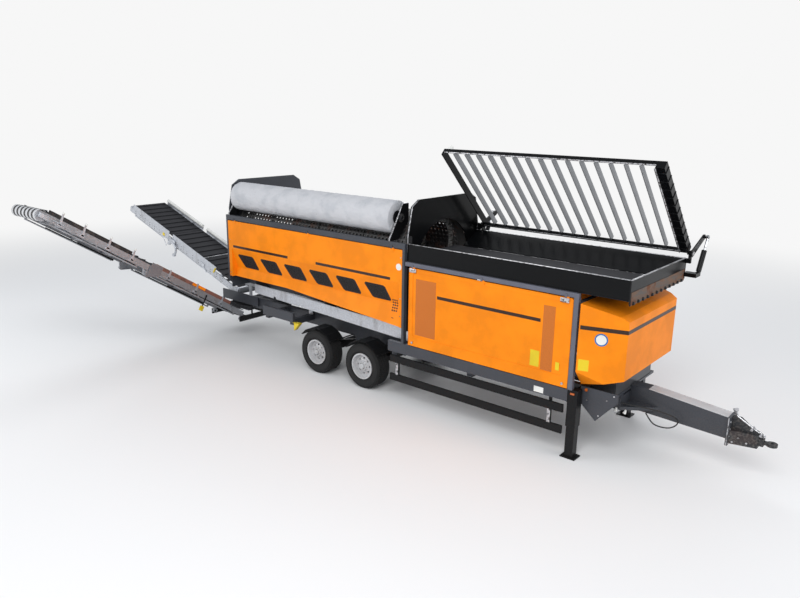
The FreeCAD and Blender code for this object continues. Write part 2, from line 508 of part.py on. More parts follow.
def drum():
    """Screen drum with a running ring at each end, and the rollers under it."""
    shell = turned("drum_shell", [("drum_radius - drum_wall", "drum_rear"), ("drum_radius", "drum_rear"),
                                  ("drum_radius", "drum_front"), ("drum_radius - drum_wall", "drum_front")], "x")
    bind(shell, Placement__Base__z="drum_z")
    pitch = f"((drum_front - drum_rear - 2 * screen_edge + screen_bar) / {SCREEN_ROWS})"
    row = grouped("screen_row", [
        block(f"screen_opening_{number}",
              (f"drum_rear + screen_edge + {number} * {pitch}",
               f"drum_rear + screen_edge + {number + 1} * {pitch} - screen_bar"),
              ("-screen_wide / 2", "screen_wide / 2"), ("drum_radius - 200", "drum_radius + 50"))
        for number in range(SCREEN_ROWS)])
    rows = [grouped(f"screen_row_{number}", [row], z="drum_z", axis="x", angle=f"360 * {number} / {SCREEN_COLUMNS}")
            for number in range(SCREEN_COLUMNS)]
    shell = cut("drum_screen", shell, rows)
    rings = []
    spots = ("drum_rear + 5", "drum_front - 60 - ring_width")
    for number, start in enumerate(spots):
        ring = turned(f"drum_ring_{number}", [("drum_radius - 1", start), ("ring_radius", start),
                                              ("ring_radius", f"{start} + ring_width"),
                                              ("drum_radius - 1", f"{start} + ring_width")], "x")
        bind(ring, Placement__Base__z="drum_z")
        rings.append(ring)
    node("drum", [shell] + rings)
    reach = "(ring_radius + roller_radius + gap)"
    spot = (f"{reach} * sin(roller_angle)", f"drum_z - {reach} * cos(roller_angle)")
    pieces = []
    for number, (start, wall_end) in enumerate(((spots[0], "house_rear + wall"), (spots[1], "house_front - wall"))):
        pieces.append(rod(f"roller_{number}", "x", (f"{start} - 10", f"{start} + ring_width + 10"), spot,
                          "roller_radius"))
        ends = (wall_end, f"{start} - 10") if number == 0 else (f"{start} + ring_width + 10", wall_end)
        pieces.append(rod(f"roller_shaft_{number}", "x", ends, spot, "45"))
    node("drum_rollers", both_sides(pieces))


def brush():
    """Cleaning brush along the top of the drum, between two carrier plates."""
    spot = ("-brush_y", "brush_z")
    node("brush", [rod("brush_roll", "x", ("brush_rear", "brush_front"), spot, "brush_radius"),
                   rod("brush_axle", "x", ("brush_rear - 75", "brush_front + 75"), spot, "brush_shaft")])
    profile = [("-half_width", "house_top"), ("-half_width", "house_top + carrier_foot"),
               ("-brush_y - carrier_low", "house_top + 3 * carrier_foot"), ("-brush_y + carrier_high", "carrier_top"),
               ("-brush_y + carrier_inner", "carrier_top"), ("-brush_y + carrier_inner", "brush_z - 100"),
               ("-half_width + 250", "house_top")]
    pieces = []
    for number, start in enumerate(("brush_rear - 75", "brush_front + 50")):
        blank = plate(f"carrier_{number}_blank", "x", profile, (start, f"{start} + 25"))
        bore = rod(f"carrier_{number}_bore", "x", (f"{start} - 5", f"{start} + 30"), spot, "brush_shaft + gap")
        pieces.append(cut(f"carrier_{number}", blank, [bore]))
    node("brush_carriers", pieces)


def collecting_conveyor():
    """Belt under the drum that takes the fine material back to the side conveyor."""
    inside = "collect_half - 20 - gap"
    turn = dict(x="collect_front", z="collect_z", axis="y", angle="180 + collect_slope")
    side = moved("collect_side_placed", [
        block("collect_side", ("0", "collect_front - collect_head"), ("collect_half - 20", "collect_half"), ("-90", "60"))],
        **turn)
    feet = [block("collect_foot_rear", ("rail_rear", "rail_rear + 100"), ("collect_half - 20", "collect_half"),
                  ("rear_pivot_z + 50", "1380"))]
    for number, (spot, top) in enumerate((("-1500", "1260"), ("1500", "1120"))):
        feet.append(block(f"collect_foot_{number}", (f"{spot} - cross_width / 2", f"{spot} + cross_width / 2"),
                          ("collect_half - 20", "collect_half"), ("rail_top - 20 + gap", top)))
    rollers = [rod(f"collect_drum_{number}", "y", (f"-({inside})", inside), (spot, "0"), "collect_drum")
               for number, spot in enumerate(("90", "collect_front - collect_head - 90"))]
    cross = [block(f"collect_cross_{number}", (f"600 + {number} * 1300", f"660 + {number} * 1300"),
                   (f"-({inside})", inside), ("-30", "30")) for number in range(4)]
    across = [moved(f"collect_across_{number}", [piece], **turn) for number, piece in enumerate(rollers + cross)]
    node("collect_frame", both_sides([fused("collect_side_whole", [side] + feet)]) + across, fuse=False)
    span = ("90", "collect_front - collect_head - 90")
    belts = [block("collect_belt_top", span, ("-(collect_half - 30)", "collect_half - 30"),
                   ("collect_drum + gap", "collect_drum + gap + belt")),
             block("collect_belt_low", span, ("-(collect_half - 30)", "collect_half - 30"),
                   ("-collect_drum - gap - belt", "-collect_drum - gap"))]
    strands = [moved(f"collect_strand_{number}", [piece], **turn) for number, piece in enumerate(belts)]
    node("collect_belt", strands, fuse=False)


def hopper():
    """Feed hopper: walls with rims, the belt floor and its frame."""
    profile = [("half_width - 60", "hopper_floor"), ("half_width - 60", "hopper_rim"), ("half_width - 110", "hopper_rim"),
               ("feed_half + 30", "hopper_floor + 65"), ("feed_half + 30", "hopper_floor + 50"),
               ("half_width - 72", "hopper_rim - 60"), ("half_width - 72", "hopper_floor")]
    wall = plate("hopper_wall", "x", profile, ("hopper_rear", "hopper_front"))
    front = block("hopper_front_wall", ("hopper_front - 15", "hopper_front"), ("-(half_width - 72)", "half_width - 72"),
                  ("hopper_floor - 70", "hopper_rim"))
    node("hopper_walls", both_sides([wall]) + [front])
    side = block("feed_side", ("feed_head - 60", "feed_tail + 90"), ("feed_half", "feed_half + 25"),
                 ("feed_z - 10 + gap", "hopper_floor + 50 - gap"))
    drums = [rod(f"feed_drum_{number}", "y", ("-feed_half + gap", "feed_half - gap"), (spot, "feed_z"), "feed_drum")
             for number, spot in enumerate(("feed_head", "feed_tail"))]
    cross = [block(f"feed_cross_{number}", (f"2000 + {number} * 1000", f"2100 + {number} * 1000"),
                   ("-(half_width - 60) + gap", "half_width - 60 - gap"), ("bay_top + 15", "feed_z - 10"))
             for number in range(4)]
    node("feed_frame", both_sides([side]) + drums + cross, fuse=False)
    belts = [block("feed_belt_top", ("feed_head", "feed_tail"), ("-(feed_half - 8)", "feed_half - 8"),
                   ("feed_z + feed_drum + gap", "feed_z + feed_drum + gap + belt")),
             block("feed_belt_low", ("feed_head", "feed_tail"), ("-(feed_half - 8)", "feed_half - 8"),
                   ("feed_z - feed_drum - gap - belt", "feed_z - feed_drum - gap"))]
    node("feed_belt", belts, fuse=False)


def service_bay():
    """Posts and rails round the bay under the hopper, with a door on each side."""
    pieces = [block("bay_rail", ("bay_rear - 100", "bay_front + post_width"), ("half_width - 60", "half_width"),
                    ("bay_top + 20", "hopper_floor")),
              block("bay_post", ("bay_front", "bay_front + post_width"), ("half_width - 80", "half_width"),
                    ("sill_top", "bay_top + 20"))]
    cross = block("bay_cross", ("bay_front", "bay_front + post_width"), ("-(half_width - 80)", "half_width - 80"),
                  ("2600", "2680"))
    skin = block("bay_door_skin", ("bay_rear", "bay_front - running"), ("-half_width", "-half_width + 30"),
                 ("bay_low", "bay_top"))
    field = plate("bay_door_field", "y", [("bay_rear + 90", "bay_low + 190"), ("bay_front - 100", "bay_low + 190"),
                                          ("bay_front - 100", "bay_top - 80"), ("bay_rear + 90", "bay_top - 80")],
                  ("-half_width - 5", "-half_width + 8"), corner="60")
    rail, knuckles = hinge_row("bay_hinge", ("bay_rear + 60", "3500", "bay_front - 160"), "bay_top + 10")
    rail_row = fused("bay_hinge_row", rail)
    hood_straps = [block(f"hood_strap_fixed_{number}", ("bay_front + 30", "hood_hinge_x"),
                         ("half_width", "half_width + hinge_out + 6"), (spot, f"{spot} + 40"))
                   for number, spot in enumerate(HOOD_HINGES)]
    hood_pins = [rod(f"hood_pin_{number}", "z", (spot, f"{spot} + {reach}"),
                     ("hood_hinge_x", "half_width + hinge_out"), radius)
                 for spot in HOOD_HINGES
                 for number, (reach, radius) in enumerate(((40, "hinge_barrel"), (78, "hinge_core")))]
    node("bay_frame", both_sides(pieces + [rail_row]) + [cross] + hood_straps + hood_pins)
    door = fused("bay_door_hung", [cut("bay_door_whole", skin, [field])] + knuckles)
    node("service_door_right", [door])
    node("service_door_left", [mirrored(door)])


def hood_shape(name, gap):
    """Faceted closed form of the hood, drawn in from its outside by a gap."""
    plan = plate(name + "_plan", "z", [
        ("hood_rear", f"-(half_width - {gap})"), (f"hood_front - {gap}", f"-(hood_half - {gap})"),
        (f"hood_front - {gap}", f"hood_half - {gap}"), ("hood_rear", f"half_width - {gap}")],
        ("hood_low_rear - 20", "hood_top_rear + 20"))
    side = plate(name + "_side", "y", [
        ("hood_rear - 5", f"hood_low_rear - {gap}"), ("hood_rear", f"hood_low_rear - {gap}"),
        ("hood_front + 10", f"hood_low_front - {gap}"), ("hood_front + 10", f"hood_top_front - {gap} - 6"),
        ("hood_bevel_x", f"hood_bevel_z - {gap}"), ("hood_rear", f"hood_top_rear - {gap}"),
        ("hood_rear - 5", f"hood_top_rear - {gap}")], ("-half_width - 10", "half_width + 10"))
    low, high, wide = f"(hood_low_rear - 30)", "hood_top_rear + 30", "half_width + 10"
    corner = "(hood_low_front + hood_corner)"
    front = plate(name + "_front", "x", [
        (f"-({wide})", high), (f"-({wide})", corner), (f"-(hood_half - hood_corner) + {gap}", low),
        (f"hood_half - hood_corner - {gap}", low), (wide, corner), (wide, high)],
        ("hood_rear - 10", "hood_front + 10"))
    form = doc.addObject("Part::MultiCommon", name)
    form.Shapes = [plan, side, front]
    return form


def nose():
    """Faceted hood hinged at its far rear corner, over the engine."""
    outer = hood_shape("hood_outer", "0")
    inner = hood_shape("hood_inner", "hood_wall")
    shell = cut("hood_shell", outer, [inner])
    knuckles = []
    for number, spot in enumerate(HOOD_HINGES):
        height = (f"{spot} + 41", f"{spot} + 81")
        strap = block(f"hood_strap_{number}", ("hood_hinge_x", "hood_rear + 50"),
                      ("half_width - 12", "half_width + hinge_out + 6"), height)
        arm = block(f"hood_strap_gap_{number}", ("hood_hinge_x - 20", "hood_rear"),
                    ("half_width - 20", "half_width"), (f"{spot} + 36", f"{spot} + 86"))
        barrel = rod(f"hood_barrel_{number}", "z", height, ("hood_hinge_x", "half_width + hinge_out"), "hinge_barrel")
        bore = rod(f"hood_bore_{number}", "z", (f"{spot} + 40", f"{spot} + 82"),
                   ("hood_hinge_x", "half_width + hinge_out"), "hinge_core + gap")
        knuckles.append(cut(f"hood_knuckle_{number}", fused(f"hood_knuckle_{number}_blank", [strap, barrel]),
                            [arm, bore]))
    node("hood", [shell] + knuckles)
    node("engine", [block("engine_block", ("hood_rear + 70", "hood_front - 230"), ("-750", "750"),
                          ("rail_top + 40", "2150"))])


def grate():
    """Tipping grate of bars in a channel frame, with its rams at both ends."""
    length = "grate_length"
    deep = "grate_depth"
    pieces = [block("grate_front_box", ("grate_front - 150", "grate_front"), (f"-{length}", "0"), ("0", deep)),
              block("grate_rear_plate", ("grate_rear", "grate_rear + 20"), (f"-{length}", "0"), ("0", deep)),
              block("grate_hinge_rail", ("grate_rear", "grate_front"), ("-60", "0"), ("0", "60")),
              block("grate_top_rail", ("grate_rear", "grate_front"), (f"-{length}", f"-{length} + 50"),
                    (f"{deep} - 60", deep))]
    pitch = "(grate_front - 150 - grate_rear) / (grate_bars + 1)"
    slats = []
    for number in range(SIZES["grate_bars"]):
        start = f"grate_rear + {number + 1} * {pitch} - grate_bar / 2"
        slats.append(plate(f"grate_slat_{number}", "x", [
            (f"-{length} + 50 + gap", deep), (f"-{length} + 50 + gap", f"{deep} - 60 - gap"),
            (f"-{length} + 20", f"{deep} - 60 - gap"), (f"-{length} + 20", "30"), ("-60 - gap", "30"),
            ("-60 - gap", "60 + gap"), ("-20", "60 + gap"), ("-20", deep)], (start, f"{start} + grate_bar")))
    turn = dict(y="(half_width - grate_inset)", z="grate_z", axis="x", angle="-grate_angle")
    levers = []
    for number, (spot, sign) in enumerate(RAMS):
        levers.append(plate(f"grate_lever_{number}", "x", [
            ("-60", "-50"), ("0", "-60"), ("lever_out + 30", "lever_up - 40"), ("lever_out + 30", "lever_up + 40"),
            ("lever_out - 40", "lever_up + 40"), ("-60", "50")], (f"{spot} - 12", f"{spot} + 12")))
        ends = ((f"{spot} - 12", "grate_rear + 20"), ("grate_front - 20", f"{spot} + 12"))[number]
        levers.append(rod(f"grate_shaft_{number}", "x", ends, ("0", "0"), "hinge_pin"))
        boss = ((f"{spot} - ram_offset + 26", spot), (spot, f"{spot} + ram_offset - 26"))[number]
        levers.append(rod(f"grate_boss_{number}", "x", boss, ("lever_out", "lever_up"), "ram_pin + 10"))
    node("grate", [moved("grate_placed", pieces, **turn),
                   moved("grate_levers", levers, y="(half_width - grate_inset)", z="grate_z")])
    node("grate_slats", [grouped("grate_slats_placed", slats, **turn)], fuse=False)
    shade = doc.addObject("Part::Cone", "work_lamp_shade")
    bind(shade, Radius1="lamp_shade", Radius2="lamp_shade / 2", Height="lamp_high",
         Placement__Base__x="grate_rear + 90", Placement__Base__y=f"-{length} + 60", Placement__Base__z=f"{deep} + gap")
    node("work_lamp", [grouped("work_lamp_placed", [shade], **turn)])


def grate_mounts():
    """Hinge lugs on the hopper rim and the feet of the two rams."""
    pieces = []
    for number, (start, rim_end) in enumerate((("grate_rear - 45", "grate_rear - 20"),
                                               ("grate_front + 15", "grate_front + 40"))):
        lug = block(f"grate_lug_{number}", (start, f"{start} + 25"), ("(half_width - grate_inset) - 50", "half_width - 60"),
                    ("hopper_rim", "grate_z + 50"))
        bore = rod(f"grate_lug_bore_{number}", "x", (f"{start} - 5", f"{start} + 30"), ("(half_width - grate_inset)", "grate_z"),
                   "hinge_pin + gap")
        pieces.append(cut(f"grate_lug_{number}_whole", lug, [bore]))
    pieces.append(block("grate_lug_arm", ("hopper_front", "grate_front + 40"), ("half_width - 110", "half_width - 60"),
                        ("hopper_rim - 80", "hopper_rim")))
    for number, (spot, sign) in enumerate(RAMS):
        middle = f"{spot} + {sign} * ram_offset"
        ends = (("hopper_rear", f"{middle} + 38"), ("hopper_front", f"{middle} + 38"))[number]
        pieces.append(block(f"ram_foot_{number}", ends, ("half_width - 60", "(half_width + ram_foot_out) - ram_pin - 34"),
                            ("ram_foot_z - 45", "ram_foot_z + 25")))
        if number == 1:
            pieces.append(block("ram_foot_plate", ends, ("half_width - 130", "half_width - 60"),
                                ("ram_foot_z - 45", "ram_foot_z + 25")))
        for cheek, (near, far) in enumerate(((-38, -26), (26, 38))):
            pieces.append(block(f"ram_cheek_{number}_{cheek}", (f"{middle} + {near}", f"{middle} + {far}"),
                                ("half_width - 60", "(half_width + ram_foot_out) + 26"), ("ram_foot_z - 45", "ram_foot_z + 22")))
        pieces.append(rod(f"ram_foot_pin_{number}", "x", (f"{middle} - 38", f"{middle} + 38"),
                          ("(half_width + ram_foot_out)", "ram_foot_z"), "ram_pin"))
    node("grate_mounts", pieces)


def rams():
    """Barrel and rod of the ram at each end of the grate."""
    run = "sqrt(((half_width - grate_inset) + lever_out - (half_width + ram_foot_out))^2 + (grate_z + lever_up - ram_foot_z)^2)"
    tilt = "-atan(((half_width - grate_inset) + lever_out - (half_width + ram_foot_out)) / (grate_z + lever_up - ram_foot_z))"
    barrels, rods = [], []
    for number, (place, sign) in enumerate(RAMS):
        spot = f"{place} + {sign} * ram_offset"
        barrels.append(cut(f"barrel_{number}", fused(f"barrel_{number}_blank", [
            rod(f"barrel_{number}_tube", "z", ("ram_pin + 22", "ram_barrel"), (spot, "0"), "ram_radius"),
            rod(f"barrel_{number}_neck", "z", ("ram_pin + 10", "ram_pin + 30"), (spot, "0"), "ram_pin"),
            rod(f"barrel_{number}_eye", "x", (f"{spot} - 20", f"{spot} + 20"), ("0", "0"), "ram_pin + 22")]), [
                rod(f"barrel_{number}_bore", "x", (f"{spot} - 25", f"{spot} + 25"), ("0", "0"), "ram_pin + gap"),
                rod(f"barrel_{number}_space", "z", ("ram_pin + 60", "ram_barrel + 5"), (spot, "0"),
                    "ram_rod + gap")]))
        stem = rod(f"ram_{number}_stem", "z", ("ram_stem", f"{run} - 20"), (spot, "0"), "ram_rod")
        eye = rod(f"ram_{number}_eye", "x", (f"{spot} - 20", f"{spot} + 20"), ("0", run), "ram_pin + 20")
        bore = rod(f"ram_{number}_bore", "x", (f"{spot} - 25", f"{spot} + 25"), ("0", run), "ram_pin + gap")
        rods.append(cut(f"ram_{number}", fused(f"ram_{number}_blank", [stem, eye]), [bore]))
    turn = dict(y="(half_width + ram_foot_out)", z="ram_foot_z", axis="x", angle=tilt)
    node("ram_barrels", [grouped("ram_barrels_placed", barrels, **turn)], fuse=False)
    node("ram_rods", [grouped("ram_rods_placed", rods, **turn)], fuse=False)


def conveyor_side(name, half, start, end, skirt, top):
    """One side of a belt section that runs along minus X: channel, skirt above and chord below."""
    pieces = [block(name + "_side", (f"-({end})", f"-({start})"), (f"{half} - channel_wall", half),
                    ("-channel / 2", "channel / 2")),
              block(name + "_skirt", (f"-({end}) + skirt_end", f"-({skirt})"), (f"{half} - skirt_wall", half),
                    ("channel / 2", top))]
    middle = f"{half} - channel_wall / 2"
    chord = ("-channel / 2 - chord_drop", "-channel / 2 + 5")
    pieces.append(rod(name + "_chord", "x", (f"-({end}) + chord_end", f"-({start}) - chord_end"),
                      (middle, chord[0]), "chord_radius"))
    for number, spot in enumerate((f"-({end}) + chord_end", f"-(({start}) + ({end})) / 2",
                                   f"-({start}) - chord_end - 40")):
        pieces.append(block(f"{name}_chord_post_{number}", (spot, f"{spot} + 40"),
                            (f"{middle} - 10", f"{middle} + 10"), chord))
    return pieces


def conveyor_across(name, half, start, end, level):
    """Crossbars and idlers between the sides of a belt section."""
    inside = f"{half} - channel_wall - gap"
    pieces = []
    for number in range(3):
        spot = f"-({start}) - ({number} + 0.7) * (({end}) - ({start})) / 3.4"
        pieces.append(block(f"{name}_cross_{number}", (f"{spot} - 30", f"{spot} + 30"),
                            (f"-({inside})", inside), ("-55", "-15")))
        pieces.append(rod(f"{name}_idler_{number}", "y", (f"-({inside})", inside),
                          (f"{spot} - 120", f"{level} - idler_radius"), "idler_radius"))
    return pieces


def conveyor_belt(name, half, start, end, level, cleats):
    """Upper strand of a belt with its cleats, running along minus X."""
    wide = f"{half} - channel_wall - 15"
    pieces = [block(name + "_strand", (f"-({end})", f"-({start})"), (f"-({wide})", wide),
                    (level, f"{level} + belt"))]
    for number in range(cleats):
        spot = f"-({start}) - ({number} + 0.5) * (({end}) - ({start})) / {cleats}"
        pieces.append(block(f"{name}_cleat_{number}", (f"{spot} - 8", f"{spot} + 8"), (f"-({wide}) + 40", f"{wide} - 40"),
                            (f"{level} + belt", f"{level} + belt + cleat")))
    return [fused(name + "_whole", pieces)]


def fold_lugs(name, half, fold, part):
    """Lugs under a belt section at its fold: outer ones on the lower part, inner ones on the upper."""
    low, deep = "-channel / 2", "-lug_drop - 28"
    if part == "lower":
        points = [(f"-({fold}) + 110", low), (f"-({fold}) + 10", low), (f"-({fold}) + 10", f"{low} - 10"),
                  (f"-({fold}) - 35", f"{low} - 10"), (f"-({fold}) - 35", deep), (f"-({fold}) + 35", deep)]
        lug = plate(name + "_lug", "y", points, (f"{half} - channel_wall", half))
        pin = rod(name + "_fold_pin", "y", (f"{half} - 2 * channel_wall - 8", f"{half} - 5"),
                  (f"-({fold})", "-lug_drop"), "fold_pin")
        return [lug, pin]
    points = [(f"-({fold}) - 110", f"{low} + 25"), (f"-({fold}) - 12", f"{low} + 25"),
              (f"-({fold}) - 12", f"{low} - 10"), (f"-({fold}) + 35", f"{low} - 10"), (f"-({fold}) + 35", deep),
              (f"-({fold}) - 35", deep)]
    lug = plate(name + "_lug", "y", points, (f"{half} - 2 * channel_wall - 6", f"{half} - channel_wall - 6"))
    bore = rod(name + "_lug_bore", "y", (f"{half} - 2 * channel_wall - 10", f"{half} - channel_wall"),
               (f"-({fold})", "-lug_drop"), "fold_pin + gap")
    spacer = block(name + "_lug_spacer", (f"-({fold}) - 110", f"-({fold}) - 12"),
                   (f"{half} - channel_wall - 6", f"{half} - channel_wall"), (low, f"{low} + 25"))
    return [cut(name + "_lug_whole", lug, [bore]), spacer]


def pivot_feet(name, half, rise):
    """Feet under a belt section down to its pivot, bored for the pins."""
    foot = block(name + "_foot", ("-60", "60"), (f"{half} - channel_wall", half), (f"-({rise}) - 45", "-channel / 2"))
    bore = rod(name + "_foot_bore", "y", (f"{half} - channel_wall - 5", f"{half} + 5"), ("0", f"-({rise})"),
               "hinge_pin + gap")
    return [cut(name + "_foot_whole", foot, [bore])]


def side_conveyor():
    """Side stacking conveyor: fixed tail, lower section and folding upper section."""
    along = ("side_pivot_y - 60", "tail_left")
    channels = [block(f"side_tail_side_{number}", (f"side_x + {near}", f"side_x + {far}"), along,
                      ("side_pivot_z - channel / 2", "side_pivot_z + channel / 2"))
                for number, (near, far) in enumerate((("-tail_half", "-(tail_half - channel_wall)"),
                                                      ("(tail_half - channel_wall)", "tail_half")))]
    pins = [rod(f"side_pin_{number}", "x", ends, ("side_pivot_y", "side_pivot_z"), "hinge_pin")
            for number, ends in enumerate((("side_x - tail_half + 10", "side_x - side_half + channel_wall - 3"),
                                           ("side_x + side_half - channel_wall + 3", "side_x + tail_half - 10")))]
    inside = ("side_x - tail_half + channel_wall", "side_x + tail_half - channel_wall")
    crosses = [block(f"side_tail_cross_{number}", inside, (spot, f"{spot} + 60"),
                     ("side_pivot_z - 60", "side_pivot_z - 20"))
               for number, spot in enumerate(("tail_left - 60", "0", "-tail_right"))]
    drum_roll = rod("side_tail_drum", "x", inside, ("tail_left - 130", "tail_belt_z - tail_drum"), "tail_drum")
    hangers = [block(f"side_hanger_{number}", (f"side_x + {near}", f"side_x + {far}"),
                     ("rear_half + 5", "rear_half + 30"), ("side_pivot_z + channel / 2", "rail_low + 60"))
               for number, (near, far) in enumerate((("-tail_half", "-(tail_half - channel_wall)"),
                                                     ("(tail_half - channel_wall)", "tail_half")))]
    node("side_tail_frame", channels + pins + crosses + [drum_roll] + both_sides(hangers))
    width = ("side_x - tail_half + channel_wall + 15", "side_x + tail_half - channel_wall - 15")
    strand = [block("side_tail_strand", width, ("-tail_right", "tail_left - 130"), ("tail_belt_z + gap", "tail_belt_z + gap + belt"))]
    strand += [block(f"side_tail_cleat_{number}", (f"{width[0]} + 40", f"{width[1]} - 40"),
                     (f"-tail_right + 80 + {number} * 200", f"-tail_right + 96 + {number} * 200"),
                     ("tail_belt_z + gap + belt", "tail_belt_z + gap + belt + cleat")) for number in range(6)]
    node("side_tail_belt", strand)
    turn = dict(axis="y", angle="side_angle")
    place = dict(x="side_x", y="side_pivot_y", z="side_pivot_z", axis="z", angle="90")
    inside = "side_half - channel_wall - gap"
    for label, start, end, cleats in (("lower", "0", "side_fold - 10", 14), ("upper", "side_fold + 10", "side_head", 13)):
        side = conveyor_side(f"side_{label}", "side_half", start, end, f"{start} + side_skirt_start", "side_skirt_top")
        side += fold_lugs(f"side_{label}", "side_half", "side_fold", label)
        across = conveyor_across(f"side_{label}", "side_half", start, end, "side_belt")
        if label == "lower":
            side += pivot_feet("side_lower", "side_half", "side_rise")
        else:
            across.append(rod("side_head_drum", "y", (f"-({inside})", inside),
                              ("-side_head + 60", "side_belt - side_drum"), "side_drum"))
        last = end if label == "lower" else f"{end} - 60"
        frame = both_sides([fused(f"side_{label}_side_whole", side)]) + across
        belt = conveyor_belt(f"side_{label}_belt", "side_half", start, last, "side_belt + gap", cleats)
        for kind, pieces in (("frame", frame), ("belt", belt)):
            raised = grouped(f"side_{label}_{kind}_rise", pieces, z="side_rise")
            tilted = grouped(f"side_{label}_{kind}_tilt", [raised], **turn)
            node(f"side_{label}_{kind}", [grouped(f"side_{label}_{kind}_out", [tilted], **place)])


def rear_conveyor():
    """Rear conveyor for the coarse material, in two sections, with the chute that feeds it."""
    place = dict(x="rear_pivot_x", z="rear_pivot_z", axis="y", angle="rear_angle")
    for label, start, end, drum_spot, cleats in (("lower", "-rear_tail - 60", "rear_fold - 10", "-rear_tail", 12),
                                                 ("upper", "rear_fold + 10", "rear_head + 60", "rear_head", 8)):
        skirt = "rear_skirt_start" if label == "lower" else start
        side = conveyor_side(f"rear_{label}", "rear_half", start, end, skirt, "rear_skirt_top")
        side += fold_lugs(f"rear_{label}", "rear_half", "rear_fold", label)
        if label == "lower":
            side += pivot_feet("rear_lower", "rear_half", "rear_rise")
        across = conveyor_across(f"rear_{label}", "rear_half", start, end, "rear_drum")
        across.append(rod(f"rear_{label}_drum", "y", ("-(rear_half - channel_wall - gap)",
                                                      "rear_half - channel_wall - gap"),
                          (f"-({drum_spot})", "0"), "rear_drum"))
        frame = both_sides([fused(f"rear_{label}_side_whole", side)]) + across
        ends = ("-rear_tail", "rear_fold - 10") if label == "lower" else ("rear_fold + 10", "rear_head")
        belt = conveyor_belt(f"rear_{label}_belt", "rear_half", *ends, "rear_drum + gap", cleats)
        for kind, pieces in (("frame", frame), ("belt", belt)):
            raised = grouped(f"rear_{label}_{kind}_rise", pieces, z="rear_rise")
            node(f"rear_{label}_{kind}", [grouped(f"rear_{label}_{kind}_tilt", [raised], **place)])
    floor = plate("chute_floor", "y", [("house_rear", "1650"), ("house_rear", "1665"), ("chute_end", "1435"),
                                       ("chute_end", "1420")], ("-rear_half", "rear_half"))
    cheek = plate("chute_cheek", "y", [("house_rear", "1640"), ("house_rear", "2100"), ("chute_end", "1750"),
                                       ("chute_end", "1410")], ("rear_half", "rear_half + 10"))
    node("rear_chute", [floor] + both_sides([cheek]))


wheels()
axles()
chassis()
drawbar()
legs()
side_guards()
mudguards()
drum_doors(housing())
drum()
brush()
collecting_conveyor()
hopper()
service_bay()
nose()
grate()
grate_mounts()
rams()
side_conveyor()
rear_conveyor()

doc.recompute()
broken = [thing.Name for thing in doc.Objects if "Invalid" in thing.State or "Error" in thing.State]
for piece in NODES:
    if piece.Shape.isNull() or not piece.Shape.isValid():
        broken.append(piece.Name)
if broken:
    raise RuntimeError("pieces failed: " + ", ".join(sorted(set(broken))))

os.makedirs("parts", exist_ok=True)
for piece in NODES:
    piece.Shape.exportStep(f"parts/{piece.Label}.step")
print(len(NODES), "pieces written")
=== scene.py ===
"""Finishes, trim, light and camera for a towed drum screen, built around its CAD frame.

Metres. The builders below write places in the machine's own frame, X forward from the middle
of the axles, Y to the left, Z up from the ground, and Forge.piece() shifts each finished mesh by
SHIFT into the frame of the packed model.
"""

import logging
import math
import random
from dataclasses import dataclass, field
from enum import Enum
from typing import Callable, Iterable, Optional, Sequence, Union

import bmesh
import bpy
from mathutils import Euler, Matrix, Vector


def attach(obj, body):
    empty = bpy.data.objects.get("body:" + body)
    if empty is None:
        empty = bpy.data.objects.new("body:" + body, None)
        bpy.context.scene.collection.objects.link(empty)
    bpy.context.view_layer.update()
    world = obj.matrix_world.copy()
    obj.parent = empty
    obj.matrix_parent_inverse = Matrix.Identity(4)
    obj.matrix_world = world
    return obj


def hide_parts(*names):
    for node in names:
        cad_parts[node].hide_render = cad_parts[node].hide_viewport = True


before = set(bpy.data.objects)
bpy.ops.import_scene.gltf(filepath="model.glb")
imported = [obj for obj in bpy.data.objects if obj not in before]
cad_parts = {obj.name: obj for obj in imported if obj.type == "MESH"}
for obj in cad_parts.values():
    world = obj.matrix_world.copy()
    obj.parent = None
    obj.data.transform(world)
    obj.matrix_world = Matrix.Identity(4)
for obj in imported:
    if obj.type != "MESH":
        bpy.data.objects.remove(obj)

log = logging.getLogger("drum_screen")

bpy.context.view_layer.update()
SHIFT = Vector((0.420, 1.985, 0.0))
BACKDROP = (0.93, 0.93, 0.93)
PROUD = 0.0015  # how far a flat stripe or a blank sign stands out
BODY_FACE = 1.25  # half the width over the doors
SIDES = (-1, 1)

Triple = tuple[float, float, float]
Pair = tuple[float, float]
Color = tuple[float, float, float, float]


class Side(Enum):
    """Side of the machine, as the sign of Y."""

    RIGHT = -1
    LEFT = 1

    @property
    def word(self) -> str:
        """Name of the side as the CAD nodes and bodies write it."""
        return self.name.lower()


class Axis(Enum):
    """Axis of a turned or extruded shape, as the rotation that takes Z to it."""

    X = "x"
    Y = "y"
    Z = "z"

    @property
    def number(self) -> int:
        """Place of its coordinate in a point."""
        return "xyz".index(self.value)

    @property
    def turn(self) -> Matrix:
        """Rotation from Z to this axis."""
        if self is Axis.X:
            return Matrix.Rotation(math.radians(90), 4, "Y")
        if self is Axis.Y:
            return Matrix.Rotation(math.radians(-90), 4, "X")
        return Matrix.Identity(4)


def span(first: float, second: float) -> Pair:
    """Two places along an axis, the lower one first."""
    return (min(first, second), max(first, second))


def linear(red: int, green: int, blue: int) -> Color:
    """Linear colour from the eight-bit screen values of a swatch.

    Args:
        red: Red value, 0 to 255.
        green: Green value, 0 to 255.
        blue: Blue value, 0 to 255.

    Returns:
        Linear red, green and blue with an alpha of 1.
    """
    parts = []
    for value in (red, green, blue):
        share = value / 255
        parts.append(share / 12.92 if share <= 0.04045 else ((share + 0.055) / 1.055) ** 2.4)
    return (*parts, 1.0)


